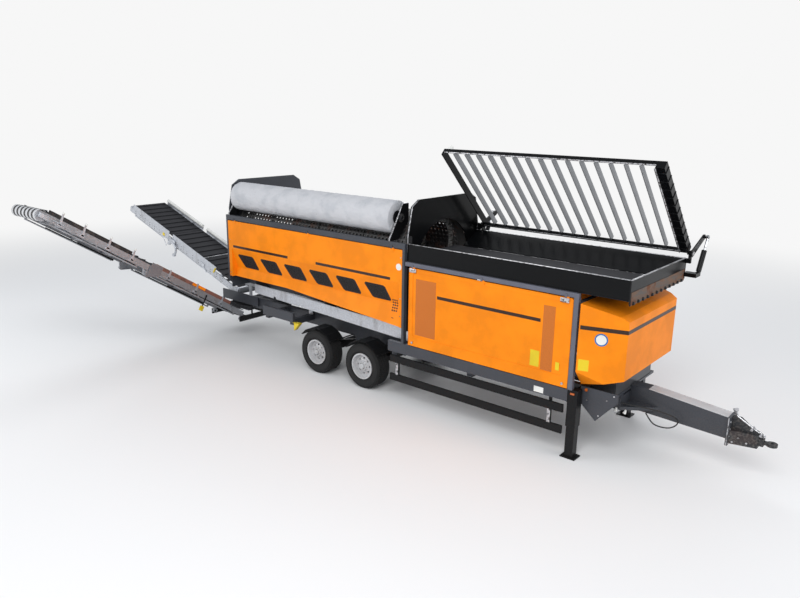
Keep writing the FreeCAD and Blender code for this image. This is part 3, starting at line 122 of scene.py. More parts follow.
class Value:
    """A shader socket that adds Math nodes when it stands in an expression."""

    def __init__(self, graph: "Graph", socket: bpy.types.NodeSocket) -> None:
        """Wrap an output socket of a graph."""
        self.graph = graph
        self.socket = socket

    def _math(self, operation: str, *terms: Union["Value", float]) -> "Value":
        """One Math node over the terms."""
        return self.graph.node("ShaderNodeMath", {"operation": operation}, dict(enumerate(terms)))

    def __add__(self, other: Union["Value", float]) -> "Value":
        """Sum."""
        return self._math("ADD", self, other)

    __radd__ = __add__

    def __sub__(self, other: Union["Value", float]) -> "Value":
        """Difference."""
        return self._math("SUBTRACT", self, other)

    def __rsub__(self, other: float) -> "Value":
        """Difference from a number."""
        return self._math("SUBTRACT", other, self)

    def __mul__(self, other: Union["Value", float]) -> "Value":
        """Product."""
        return self._math("MULTIPLY", self, other)

    __rmul__ = __mul__

    def over(self, other: Union["Value", float]) -> "Value":
        """The larger of this and another."""
        return self._math("MAXIMUM", self, other)

    def wave(self) -> "Value":
        """Sine of the value in radians."""
        return self._math("SINE", self)

    def size(self) -> "Value":
        """The value without its sign."""
        return self._math("ABSOLUTE", self)

    def step(self, low: float, high: float) -> "Value":
        """Smooth rise from 0 at low to 1 at high; falls where high is the smaller one.

        Args:
            low: Value at which the result is 0.
            high: Value at which the result is 1.

        Returns:
            The clamped share.
        """
        settings = {"interpolation_type": "SMOOTHSTEP", "clamp": True}
        return self.graph.node("ShaderNodeMapRange", settings, {0: self, 1: low, 2: high, 3: 0.0, 4: 1.0})


Term = Union[Value, float, Sequence[float]]


class Graph:
    """Node tree of one material, with the helpers that its finish needs."""

    def __init__(self, name: str) -> None:
        """Start a material of that name with a Principled shader."""
        self.material = bpy.data.materials.new(name)
        self.material.use_nodes = True
        self.tree = self.material.node_tree
        self.shader = self.tree.nodes["Principled BSDF"]
        self._place: Optional[Value] = None

    def node(self, kind: str, settings: Optional[dict] = None, inputs: Optional[dict] = None,
             output: Union[int, str] = 0) -> Value:
        """Add a node, its settings first and then its sockets.

        Args:
            kind: Blender's node type.
            settings: Attributes of the node.
            inputs: Socket names or numbers with their values or links.
            output: Which output to hand back.

        Returns:
            The chosen output.
        """
        made = self.tree.nodes.new(kind)
        for name, setting in (settings or {}).items():
            setattr(made, name, setting)
        for name, term in (inputs or {}).items():
            self.feed(made.inputs[name], term)
        return Value(self, made.outputs[output])

    def feed(self, socket: bpy.types.NodeSocket, term: Term) -> None:
        """Link or set one input socket."""
        if isinstance(term, Value):
            self.tree.links.new(term.socket, socket)
        else:
            socket.default_value = term

    def place(self) -> Value:
        """Object coordinates, which are the row frame's."""
        if self._place is None:
            self._place = self.node("ShaderNodeTexCoord", output="Object")
        return self._place

    def stretched(self, scale: Triple) -> Value:
        """Object coordinates scaled along each axis."""
        return self.node("ShaderNodeMapping", inputs={"Vector": self.place(), "Scale": scale})

    def along(self, axis: Axis) -> Value:
        """One coordinate in the machine's own frame."""
        number = axis.number
        split = self.node("ShaderNodeSeparateXYZ", inputs={0: self.place()}, output=number)
        return split - SHIFT[number]

    def noise(self, scale: float, detail: float = 4.0, stretch: Triple = (1.0, 1.0, 1.0),
              rough: float = 0.55) -> Value:
        """Noise between about 0 and 1.

        Args:
            scale: Grains per metre.
            detail: Octaves.
            stretch: Scale of the coordinates along each axis.
            rough: Weight of the finer octaves.

        Returns:
            The noise value.
        """
        return self.node("ShaderNodeTexNoise", inputs={"Vector": self.stretched(stretch), "Scale": scale,
                                                       "Detail": detail, "Roughness": rough})

    def cells(self, scale: float, output: str = "Distance") -> Value:
        """Voronoi cells, a number of them to the metre."""
        return self.node("ShaderNodeTexVoronoi", inputs={"Vector": self.place(), "Scale": scale},
                         output=output)

    def mix(self, first: Term, second: Term, share: Term) -> Value:
        """Colour between two colours."""
        return self.node("ShaderNodeMix", {"data_type": "RGBA"}, {0: share, 6: first, 7: second}, output=2)

    def bump(self, height: Value, strength: float, distance: float) -> Value:
        """Normal from a height."""
        return self.node("ShaderNodeBump", inputs={"Height": height, "Strength": strength,
                                                   "Distance": distance},
                         output="Normal")

    def edges(self, radius: float) -> Value:
        """Share of wear on the edges, from how far the rounded normal leaves the true one."""
        rounded = self.node("ShaderNodeBevel", {"samples": 4}, {"Radius": radius}, output="Normal")
        true = self.node("ShaderNodeNewGeometry", output="Normal")
        dot = self.node("ShaderNodeVectorMath", {"operation": "DOT_PRODUCT"}, {0: rounded, 1: true},
                        output="Value")
        return dot.step(0.995, 0.9)

    def set(self, **sockets: Term) -> None:
        """Set the shader's sockets; an underscore stands for a space."""
        for name, term in sockets.items():
            self.feed(self.shader.inputs[name.replace("_", " ")], term)


@dataclass(frozen=True)
class Finish:
    """A surface of the machine: its record slot and how its material is made."""

    name: str
    slot: str
    color: Color
    roughness: float = 0.5
    metallic: float = 0.0

    def darker(self, share: float) -> Color:
        """The colour with its parts cut to a share."""
        return tuple(share * part for part in self.color[:3]) + (1.0,)

    def build(self, graph: Graph) -> None:
        """Dress the shader; the plain case has a little unevenness.

        Args:
            graph: The material's nodes.
        """
        uneven = graph.noise(3.0)
        graph.set(Base_Color=graph.mix(self.color, self.darker(0.8), uneven),
                  Roughness=self.roughness + 0.1 * (uneven - 0.5), Metallic=self.metallic)

    def material(self) -> bpy.types.Material:
        """The material of this finish, made once."""
        if self.name not in bpy.data.materials:
            self.build(Graph(self.name))
        return bpy.data.materials[self.name]


@dataclass(frozen=True)
class Enamel(Finish):
    """Sprayed paint with orange peel, thin dust and paler worn edges."""

    dust: float = 0.15
    gloss: float = 0.3
    worn: Color = (0.35, 0.33, 0.3, 1.0)
    wear: float = 0.25
    specular: float = 0.25

    def build(self, graph: Graph) -> None:
        """Paint, dust in the noise's hollows and toward the ground, scuffs on edges."""
        patch = graph.noise(2.2, 6.0)
        speck = graph.noise(42.0, 3.0)
        low = graph.along(Axis.Z).step(1.6, 0.2)
        dust = (patch.step(0.5, 0.8) * 0.5 + low * 0.8) * speck.step(0.3, 0.7) * self.dust
        shade = graph.mix(self.color, self.darker(0.86), patch.step(0.35, 0.65))
        dusty = graph.mix(shade, linear(150, 138, 120), dust)
        scuff = graph.edges(0.006) * speck.step(0.5, 0.62) * self.wear
        peel = graph.noise(260.0, 2.0)
        graph.set(Base_Color=graph.mix(dusty, self.worn, scuff),
                  Roughness=self.roughness + 0.35 * dust + 0.08 * (patch - 0.5),
                  Coat_Weight=self.gloss, Coat_Roughness=0.15, Specular_IOR_Level=self.specular,
                  Normal=graph.bump(peel, 0.06, 0.002))


@dataclass(frozen=True)
class Galvanised(Finish):
    """Hot-dip zinc with its spangle, dull streaks and grime at the foot."""

    metallic: float = 0.75
    grime: float = 0.4

    def build(self, graph: Graph) -> None:
        """Spangle from cells, streaks down the plate."""
        spangle = graph.cells(38.0, "Color")
        grey = graph.node("ShaderNodeRGBToBW", inputs={0: spangle})
        streak = graph.noise(5.0, 5.0, (1.0, 1.0, 0.25))
        shade = graph.mix(self.color, self.darker(0.72), grey * 0.7)
        dirt = streak.step(0.52, 0.75) * self.grime
        graph.set(Base_Color=graph.mix(shade, linear(92, 84, 74), dirt),
                  Metallic=self.metallic - 0.5 * dirt, Roughness=self.roughness + 0.12 * (grey - 0.5) + 0.3 * dirt,
                  Normal=graph.bump(graph.noise(90.0), 0.08, 0.002))


@dataclass(frozen=True)
class Skirted(Galvanised):
    """Zinc channel under painted skirts, parted at a plane along the conveyor."""

    skirt: Color = (0.01, 0.01, 0.011, 1.0)
    scuffed: Color = (0.06, 0.05, 0.045, 1.0)
    normal: Triple = (0.0, 0.0, 1.0)
    level: float = 0.0

    def build(self, graph: Graph) -> None:
        """Paint what lies above the plane over the zinc."""
        super().build(graph)
        height = graph.along(Axis.X) * self.normal[0]
        height = height + graph.along(Axis.Y) * self.normal[1] + graph.along(Axis.Z) * self.normal[2]
        share = height.step(self.level, self.level + 0.004)
        paint = graph.mix(self.skirt, self.scuffed, graph.noise(6.0, 6.0).step(0.5, 0.7))
        zinc = Value(graph, graph.shader.inputs["Base Color"].links[0].from_socket)
        shine = Value(graph, graph.shader.inputs["Metallic"].links[0].from_socket)
        graph.set(Base_Color=graph.mix(zinc, paint, share), Metallic=shine * (1.0 - share))


@dataclass(frozen=True)
class InwardShadedEnamel(Enamel):
    """Door enamel with painted shade on the faces that look into the machine or down."""

    out: Side = Side.RIGHT

    def build(self, graph: Graph) -> None:
        """Painted shade: darken the faces that look into the machine or down."""
        super().build(graph)
        turn = graph.node("ShaderNodeTexCoord", output="Normal")
        away = graph.node("ShaderNodeVectorMath", {"operation": "DOT_PRODUCT"},
                          {0: turn, 1: (0.0, float(self.out.value), 0.6)}, output="Value")
        paint = Value(graph, graph.shader.inputs["Base Color"].links[0].from_socket)
        # painted shade: dark brown on the inward and downward faces
        graph.set(Base_Color=graph.mix(paint, linear(34, 30, 26), away.step(-0.05, -0.2)))


@dataclass(frozen=True)
class Rubber(Finish):
    """Belt or tyre rubber, greyed and dusty on its wearing faces."""

    dust: float = 0.3
    grain: float = 180.0

    def build(self, graph: Graph) -> None:
        """Matt black with dry dust and a fine grain."""
        patch = graph.noise(7.0, 6.0)
        dust = patch.step(0.42, 0.72) * self.dust
        graph.set(Base_Color=graph.mix(self.color, linear(104, 98, 90), dust),
                  Roughness=self.roughness + 0.1 * (patch - 0.5),
                  Normal=graph.bump(graph.noise(self.grain, 2.0), 0.2, 0.002))


@dataclass(frozen=True)
class RawSteel(Finish):
    """Bare steel, scoured bright in places and rusted in others."""

    metallic: float = 0.9
    rust: float = 0.5
    level: Pair = (-9.0, -8.0)

    def build(self, graph: Graph) -> None:
        """Scratches, and rust where the noise is high or below a level."""
        patch = graph.noise(4.0, 7.0)
        scratch = graph.noise(30.0, 4.0, (1.0, 0.12, 1.0))
        low = graph.along(Axis.Z).step(self.level[1], self.level[0])
        rust = (patch.step(0.5, 0.62) * self.rust).over(low * patch.step(0.3, 0.5))
        brown = graph.mix(linear(120, 66, 34), linear(70, 42, 28), graph.noise(22.0, 5.0))
        graph.set(Base_Color=graph.mix(graph.mix(self.color, linear(88, 86, 84), scratch.step(0.45, 0.65)),
                                       brown, rust),
                  Metallic=self.metallic - 0.85 * rust, Roughness=self.roughness + 0.4 * rust,
                  Normal=graph.bump(scratch + patch, 0.15, 0.003))


@dataclass(frozen=True)
class Bristles(Finish):
    """Packed nylon bristles, seen as fine strands with painted shade in the gaps between them."""

    def build(self, graph: Graph) -> None:
        """Strand noise that runs round the roll, with soft swirls."""
        strand = graph.noise(70.0, 5.0, (1.0, 0.35, 0.35))
        swirl = graph.noise(2.6, 3.0)
        # painted shade in the gaps between strands
        gap = strand.step(0.36, 0.2) * 0.75
        base = graph.mix(self.color, linear(172, 176, 182), swirl.step(0.45, 0.7) * 0.6)
        graph.set(Base_Color=graph.mix(base, linear(96, 98, 102), gap), Roughness=0.85,
                  Normal=graph.bump(strand, 0.9, 0.015))


@dataclass(frozen=True)
class Lens(Finish):
    """Moulded lamp or reflector lens with its prism ribs."""

    def build(self, graph: Graph) -> None:
        """Clear-coated colour with fine ribs."""
        rib = (graph.along(Axis.X) * 520.0).wave()
        graph.set(Base_Color=graph.mix(self.color, self.darker(0.6), rib),
                  Roughness=self.roughness, Coat_Weight=0.6, Coat_Roughness=0.08,
                  Normal=graph.bump(rib, 0.12, 0.002))


@dataclass(frozen=True)
class PunchedPaint(Finish):
    """Painted sheet punched with rows of fine holes, each painted dark as the shade behind it."""

    pitch: float = 0.011

    def build(self, graph: Graph) -> None:
        """Round holes of painted shade on a square grid in X and Z."""
        turn = 2 * math.pi / self.pitch
        rows = (graph.along(Axis.X) * turn).wave() * (graph.along(Axis.Z) * turn).wave()
        hole = rows.size().step(0.45, 0.7)
        # painted shade in the holes
        graph.set(Base_Color=graph.mix(self.color, self.darker(0.25), hole * 0.55),
                  Roughness=self.roughness, Normal=graph.bump(hole, -0.3, 0.002))


ORANGE = Enamel("orange_enamel", "orange_paint", linear(250, 140, 18), 0.45, dust=0.05, gloss=0.04,
                wear=0.12,
                worn=linear(150, 95, 40), specular=0.12)
# door enamel with painted shade on its inward and downward faces
DOOR_PAINT_AND_SHADE = {side: InwardShadedEnamel(**{**vars(ORANGE), "name": f"door_enamel_{side.word}",
                             "out": side}) for side in Side}
DARK_GREY = Enamel("dark_grey_enamel", "grey_paint", linear(62, 65, 72), 0.45, dust=0.12)
RAIL_GREY = Enamel("rail_grey_enamel", "rail_paint", linear(98, 100, 112), 0.42, dust=0.1)
BLACK = Enamel("black_enamel", "black_paint", linear(20, 21, 23), 0.4, dust=0.03, gloss=0.08,
               worn=linear(120, 120, 122),
               specular=0.15)
GLOSS_BLACK = Enamel("hopper_black", "black_paint", linear(10, 11, 13), 0.3, dust=0.02, gloss=0.08,
                     worn=linear(120, 120, 122), specular=0.12)
ZINC = Galvanised("galvanised_sheet", "galvanised", linear(205, 208, 214), 0.42)
ZINC_DARK = Galvanised("galvanised_dirty", "galvanised", linear(150, 152, 158), 0.5, grime=0.7)
BELT = Rubber("belt_rubber", "belt_rubber", linear(38, 39, 41), 0.75, dust=0.25)
TYRE = Rubber("tyre_rubber", "tyre_rubber", linear(26, 26, 27), 0.8, dust=0.35)
HOSE = Rubber("hose_rubber", "tyre_rubber", linear(24, 24, 25), 0.55, dust=0.1)
# screen steel kept dark grey as painted shade of the drum under its housing; its rust patches are its own
SHADED_DRUM_STEEL = RawSteel("screen_steel_painted_shade", "worn_steel", linear(84, 84, 85), 0.5, metallic=0.5, rust=0.5,
                      level=(2.0, 2.5))
FLIGHT_STEEL = RawSteel("flight_steel", "worn_steel", linear(205, 205, 203), 0.4, metallic=0.5, rust=0.25,
                        level=(2.3, 2.75))
BRIGHT = RawSteel("bright_edge_steel", "bright_steel", linear(205, 205, 208), 0.3, rust=0.05)
SLAT = Finish("grate_slat_steel", "bright_steel", linear(150, 152, 155), 0.4, 0.4)
RIM = Enamel("silver_wheel_enamel", "silver_rim", linear(196, 197, 200), 0.35, dust=0.3,
             worn=linear(90, 90, 92))
CAST = RawSteel("cast_iron_dark", "black_paint", linear(52, 53, 56), 0.55, metallic=0.4, rust=0.12)
ENGINE = Enamel("engine_block_enamel", "engine_iron", linear(70, 72, 76), 0.5, dust=0.3)
CHROME = RawSteel("ram_rod_chrome", "chrome_rod", linear(220, 222, 226), 0.12, rust=0.0)
BRISTLE = Bristles("brush_bristles", "bristle", linear(198, 199, 203), 0.85)
STRIPE = Enamel("stripe_brown", "orange_paint", linear(48, 28, 12), 0.4, dust=0.03, wear=0.0)
# darker orange with dark holes: painted shade behind the punched vent sheet
VENT_ORANGE_AND_SHADE = PunchedPaint("vent_orange_hole_shade", "orange_paint", linear(205, 110, 14), 0.5)
WHITE = Enamel("blank_white", "lamp_white", linear(232, 232, 228), 0.4, dust=0.05, wear=0.0)
BLUE = Enamel("blue_rim", "lamp_white", linear(40, 110, 175), 0.4, dust=0.05, wear=0.0)
YELLOW = Enamel("yellow_plastic", "chock_yellow", linear(228, 200, 30), 0.45, dust=0.15, wear=0.1)
AMBER = Lens("amber_lens", "lamp_amber", linear(200, 96, 20), 0.25)
RED = Lens("red_lens", "lamp_amber", linear(150, 14, 12), 0.25)
WORN_RED = RawSteel("worn_red_plate", "worn_steel", linear(150, 92, 78), 0.6, metallic=0.1, rust=0.35)
RUSTY = RawSteel("rusty_plate", "worn_steel", linear(110, 84, 66), 0.65, metallic=0.3, rust=0.8)
SIDE_PLACE = (Matrix.Translation((-4.215, -0.90, 0.56)) @ Matrix.Rotation(math.radians(90), 4, "Z")
              @ Matrix.Rotation(math.radians(32.5), 4, "Y") @ Matrix.Translation((0, 0, 0.12)))
SIDE_UP = SIDE_PLACE.to_3x3() @ Vector((0.0, 0.0, 1.0))
SKIRT_FOOT = SIDE_UP.dot(SIDE_PLACE.translation) + 0.066
UPPER_SKIRTS = Skirted("side_upper_skirts", "galvanised", linear(176, 178, 183), 0.5, grime=0.4,
                       normal=tuple(SIDE_UP),
                       level=SKIRT_FOOT, skirt=linear(24, 24, 26), scuffed=linear(62, 56, 52))
LOWER_SKIRTS = Skirted("side_lower_skirts", "galvanised", linear(170, 172, 177), 0.5, grime=0.5,
                       normal=tuple(SIDE_UP),
                       level=SKIRT_FOOT, skirt=linear(132, 88, 76), scuffed=linear(86, 70, 64))
# black for the window seals, and painted shade seen through the door windows and vents
WINDOW_SHADE_BLACK = Finish("window_shade_black", "black_paint", linear(24, 24, 26), 0.7)


class Forge:
    """A mesh in the making: shapes are added to one bmesh and leave as one object."""

    def __init__(self) -> None:
        """Start empty."""
        self.mesh = bmesh.new()

    def _moved(self, verts: Iterable[bmesh.types.BMVert], matrix: Matrix) -> list[bmesh.types.BMVert]:
        """Transform new vertices and hand them back."""
        found = list(verts)
        bmesh.ops.transform(self.mesh, matrix=matrix, verts=found)
        return found

    def box(self, x: Pair, y: Pair, z: Pair, edge: float = 0.0) -> "Forge":
        """Box between two places along each axis.

        Args:
            x: Low and high X.
            y: Low and high Y.
            z: Low and high Z.
            edge: Width of the rounding of its edges.

        Returns:
            The forge.
        """
        middle = Vector(((x[0] + x[1]) / 2, (y[0] + y[1]) / 2, (z[0] + z[1]) / 2))
        size = Matrix.Diagonal((x[1] - x[0], y[1] - y[0], z[1] - z[0], 1.0))
        made = bmesh.ops.create_cube(self.mesh, size=1.0)["verts"]
        self._moved(made, Matrix.Translation(middle) @ size)
        if edge:
            edges = list({line for vert in made for line in vert.link_edges})
            bmesh.ops.bevel(self.mesh, geom=edges, offset=edge, segments=2, profile=0.5, affect="EDGES",
                            material=-1)
        return self

    def bar(self, start: Triple, end: Triple, radius: float, sides: int = 12,
            radius_end: Optional[float] = None) -> "Forge":
        """Round bar or cone between two points.

        Args:
            start: Centre of the first end.
            end: Centre of the other end.
            radius: Radius at the first end.
            sides: Number of sides.
            radius_end: Radius at the other end, when it differs.

        Returns:
            The forge.
        """
        low, high = Vector(start), Vector(end)
        run = high - low
        turn = run.to_track_quat("Z", "Y").to_matrix().to_4x4()
        made = bmesh.ops.create_cone(self.mesh, cap_ends=True, segments=sides, radius1=radius,
                                     radius2=radius if radius_end is None else radius_end, depth=run.length)["verts"]
        self._moved(made, Matrix.Translation((low + high) / 2) @ turn)
        return self

    def flat(self, points: Sequence[Pair], axis: Axis, ends: Pair) -> "Forge":
        """Plate with an outline across an axis, between two places along it.

        Args:
            points: Outline as pairs of the two other coordinates, in the order X, Y, Z.
            axis: Axis of the thickness.
            ends: Low and high place along the axis.

        Returns:
            The forge.
        """
        spots = []
        number = axis.number
        for point in points:
            spot = list(point)
            spot.insert(number, ends[0])
            spots.append(self.mesh.verts.new(spot))
        face = self.mesh.faces.new(spots)
        step = Vector((0.0, 0.0, 0.0))
        step[number] = ends[1] - ends[0]
        grown = bmesh.ops.extrude_face_region(self.mesh, geom=[face])["geom"]
        bmesh.ops.translate(self.mesh, vec=step, verts=[part for part in grown if isinstance(part,
                                                                                             bmesh.types.BMVert)])
        return self

    def turned(self, profile: Sequence[Pair], centre: Triple, axis: Axis, steps: int = 48) -> "Forge":
        """Shape turned about an axis through a centre.

        Args:
            profile: Closed outline as pairs of radius and place along the axis.
            centre: Point on the axis.
            axis: Axis of the turn.
            steps: Number of steps round.

        Returns:
            The forge.
        """
        verts = [self.mesh.verts.new((radius, 0.0, along)) for radius, along in profile]
        lines = [self.mesh.edges.new((first, second)) for first,
                 second in zip(verts, verts[1:] + verts[:1])]
        made = bmesh.ops.spin(self.mesh, geom=verts + lines, cent=(0, 0, 0), axis=(0, 0, 1),
                              angle=2 * math.pi, steps=steps, use_merge=True)
        found = set(verts) | {part for part in made["geom_last"] if isinstance(part, bmesh.types.BMVert)}
        reach = list(found)
        seen = set(reach)
        while reach:
            vert = reach.pop()
            for line in vert.link_edges:
                other = line.other_vert(vert)
                if other not in seen:
                    seen.add(other)
                    reach.append(other)
        self._moved(seen, Matrix.Translation(Vector(centre)) @ axis.turn)
        return self

    def rod(self, spots: Sequence[Triple], radius: float, sides: int = 12) -> "Forge":
        """Bent rod through a row of points.

        Args:
            spots: The points it runs through.
            radius: Radius of the rod.
            sides: Number of sides.

        Returns:
            The forge.
        """
        for first, second in zip(spots, spots[1:]):
            self.bar(tuple(first), tuple(second), radius, sides)
        return self

    def bolts(self, spots: Iterable[Triple], axis: Axis, radius: float, height: float) -> "Forge":
        """Hexagon heads, each centred on a spot and standing along an axis.

        Args:
            spots: Centres of the heads' feet.
            axis: Direction of the bolts.
            radius: Radius of a head.
            height: Height of a head, negative for the other way.

        Returns:
            The forge.
        """
        for spot in spots:
            low = Vector(spot)
            step = Vector((0.0, 0.0, 0.0))
            step[axis.number] = height
            self.bar(tuple(low), tuple(low + step), radius, 6)
        return self

    def moved(self, matrix: Matrix) -> "Forge":
        """Transform all that is in the forge."""
        bmesh.ops.transform(self.mesh, matrix=matrix, verts=self.mesh.verts)
        return self

    def piece(self, name: str, finish: Finish, body: str, smooth: float = 35.0,
              dress: Optional[Callable[[bpy.types.Object], None]] = None) -> bpy.types.Object:
        """Make the object, give it its finish and let it ride on a body.

        Args:
            name: Name of the piece.
            finish: Its surface.
            body: CAD body that it moves with.
            smooth: Edges flatter than this many degrees are shaded smooth.
            dress: What else is done to the object before it rides.

        Returns:
            The object.
        """
        bmesh.ops.remove_doubles(self.mesh, verts=self.mesh.verts, dist=1e-5)
        bmesh.ops.recalc_face_normals(self.mesh, faces=self.mesh.faces)
        for face in self.mesh.faces:
            face.smooth = True
        for line in self.mesh.edges:
            if len(line.link_faces) == 2 and line.calc_face_angle(0.0) > math.radians(smooth):
                line.smooth = False
        bmesh.ops.translate(self.mesh, vec=SHIFT, verts=self.mesh.verts)
        data = bpy.data.meshes.new(name)
        self.mesh.to_mesh(data)
        self.mesh.free()
        made = bpy.data.objects.new(name, data)
        bpy.context.scene.collection.objects.link(made)
        data.materials.append(finish.material())
        if dress:
            dress(made)
        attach(made, body)
        log.info("%s: %d faces on %s", name, len(data.polygons), body)
        return made


@dataclass
class CadFinishes:
    """Finishes of the CAD nodes that stay in sight."""

    by_start: dict[str, Finish] = field(default_factory=lambda: {
        "tyre_": TYRE, "rim_": RIM, "axle_": BLACK, "chassis_frame": DARK_GREY, "drawbar_head": CAST,
        "drawbar": DARK_GREY, "tow_eye": CAST, "leg_": BLACK, "side_guards": BLACK, "mudguards": BLACK,
        "housing_": DARK_GREY, "drum_bulkhead": GLOSS_BLACK, "drum_door_right": DOOR_PAINT_AND_SHADE[Side.RIGHT],
        "drum_door_left": DOOR_PAINT_AND_SHADE[Side.LEFT], "marker_lamps": AMBER,
        "wheel_chock": YELLOW, "work_lamp": WHITE,
        "drum_rollers": CAST, "drum": SHADED_DRUM_STEEL, "brush_carriers": BLACK, "brush": BRISTLE,
        "side_plates": ZINC, "collect_frame": ZINC, "hopper_walls": GLOSS_BLACK, "feed_frame": DARK_GREY,
        "bay_frame": RAIL_GREY, "service_door_": ORANGE, "hood": ORANGE, "engine": ENGINE, "grate_mounts": GLOSS_BLACK,
        "grate_slats": SLAT, "grate": GLOSS_BLACK, "ram_barrels": BLACK, "ram_rods": CHROME,
        "side_tail_frame": BLACK, "side_lower_frame": LOWER_SKIRTS, "side_upper_frame": UPPER_SKIRTS,
        "rear_lower_frame": ZINC, "rear_upper_frame": ZINC, "rear_chute": DARK_GREY,
        "collect_belt": BELT, "feed_belt": BELT, "side_lower_belt": BELT, "side_upper_belt": BELT,
        "side_tail_belt": BELT, "rear_lower_belt": BELT, "rear_upper_belt": BELT})

    def build(self) -> None:
        """Give each node the finish whose name starts its own, the longest such name first."""
        starts = sorted(self.by_start, key=len, reverse=True)
        for name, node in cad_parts.items():
            match = next((start for start in starts if name.startswith(start)), None)
            finish = self.by_start[match] if match else DARK_GREY
            node.data.materials.clear()
            node.data.materials.append(finish.material())
            log.info("node %s: %s", name, finish.name)


@dataclass
class Wheels:
    """Tread, sidewall rings, wheel nuts and hub caps of the four wheels."""

    radius: float = 0.475
    width: float = 0.385
    track: float = 1.25
    axle_x: float = 0.671
    ribs: int = 5
    groove: float = 0.012
    blocks: int = 64
    rim_radius: float = 0.266
    nuts: int = 10
    nut_ring: float = 0.100
    cap: float = 0.062

    def tyre(self, centre: Vector) -> Forge:
        """Casing of the tyre, rounded at its shoulders, under the tread blocks."""
        half = self.width / 2
        bead, top = self.rim_radius + 0.001, self.radius - 0.011
        side = [(bead, half - 0.037), (bead + 0.024, half - 0.037), (bead + 0.045, half - 0.008),
                (bead + 0.075, half),
                (top - 0.06, half), (top - 0.022, half - 0.014), (top - 0.004, half - 0.042), (top,
                                                                                               half - 0.075)]
        profile = [(radius, -along) for radius, along in side] + side[::-1]
        return Forge().turned(profile, tuple(centre), Axis.Y, 96)

    def tread(self, centre: Vector) -> Forge:
        """Rows of tread blocks round the tyre, each block a low bevelled box."""
        forge = Forge()
        rib_width = (self.width - 0.07) / self.ribs
        for rib in range(self.ribs):
            across = -self.width / 2 + 0.035 + (rib + 0.5) * rib_width
            lean = 0.12 if rib % 2 else -0.12
            for number in range(self.blocks):
                angle = 2 * math.pi * (number + 0.5 * (rib % 2)) / self.blocks
                length = 2 * math.pi * self.radius / self.blocks
                made = bmesh.ops.create_cube(forge.mesh, size=1.0)["verts"]
                size = Matrix.Diagonal((length - self.groove, rib_width - self.groove, 0.014, 1.0))
                drop = 0.008 if rib in (0, self.ribs - 1) else 0.0078
                place = Matrix.Rotation(angle, 4, "Y") @ Matrix.Translation((0, across, self.radius - drop))
                forge._moved(made, Matrix.Translation(centre) @ place @ Matrix.Rotation(lean, 4,
                                                                                        "Z") @ size)
        return forge

    def face(self, centre: Vector, side: Side) -> Forge:
        """Raised rings on the outer sidewall."""
        forge = Forge()
        out = side.value
        wall = self.width / 2
        for radius in (0.315, 0.42):
            forge.turned([(radius, out * (wall - 0.002)), (radius + 0.008, out * (wall + 0.004)),
                          (radius + 0.016, out * (wall - 0.002))], tuple(centre), Axis.Y, 72)
        return forge

    def fittings(self, centre: Vector, side: Side) -> Forge:
        """Wheel nuts on studs and a stepped hub cap with its rim."""
        forge = Forge()
        out = side.value
        disc = out * 0.117
        for number in range(self.nuts):
            angle = 2 * math.pi * number / self.nuts
            spot = (centre.x + self.nut_ring * math.cos(angle), centre.y + disc,
                    centre.z + self.nut_ring * math.sin(angle))
            tip = (spot[0], spot[1] + out * 0.035, spot[2])
            forge.bar(spot, tip, 0.014, 6)
            forge.bar(tip, (tip[0], tip[1] + out * 0.015, tip[2]), 0.008, 8)
        forge.turned([(0.0005, out * 0.14), (self.cap, out * 0.14), (self.cap - 0.004, out * 0.185),
                      (self.cap - 0.02, out * 0.2), (0.0005, out * 0.203)], tuple(centre), Axis.Y, 40)
        return forge

    def build(self) -> None:
        """Dress each wheel."""
        for place, spot_x in (("front", self.axle_x), ("rear", -self.axle_x)):
            for side in Side:
                centre = Vector((spot_x, side.value * (self.track - self.width / 2), self.radius))
                body = f"wheel_{place}_{side.word}"
                casing = self.tyre(centre).piece(f"{body}_casing", TYRE, body)
                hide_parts(f"tyre_{place}_{side.word}")
                self.tread(centre).piece(f"{body}_tread", TYRE, body)
                self.face(centre, side).piece(f"{body}_sidewall", TYRE, body)
                self.fittings(centre, side).piece(f"{body}_nuts", RIM, body)


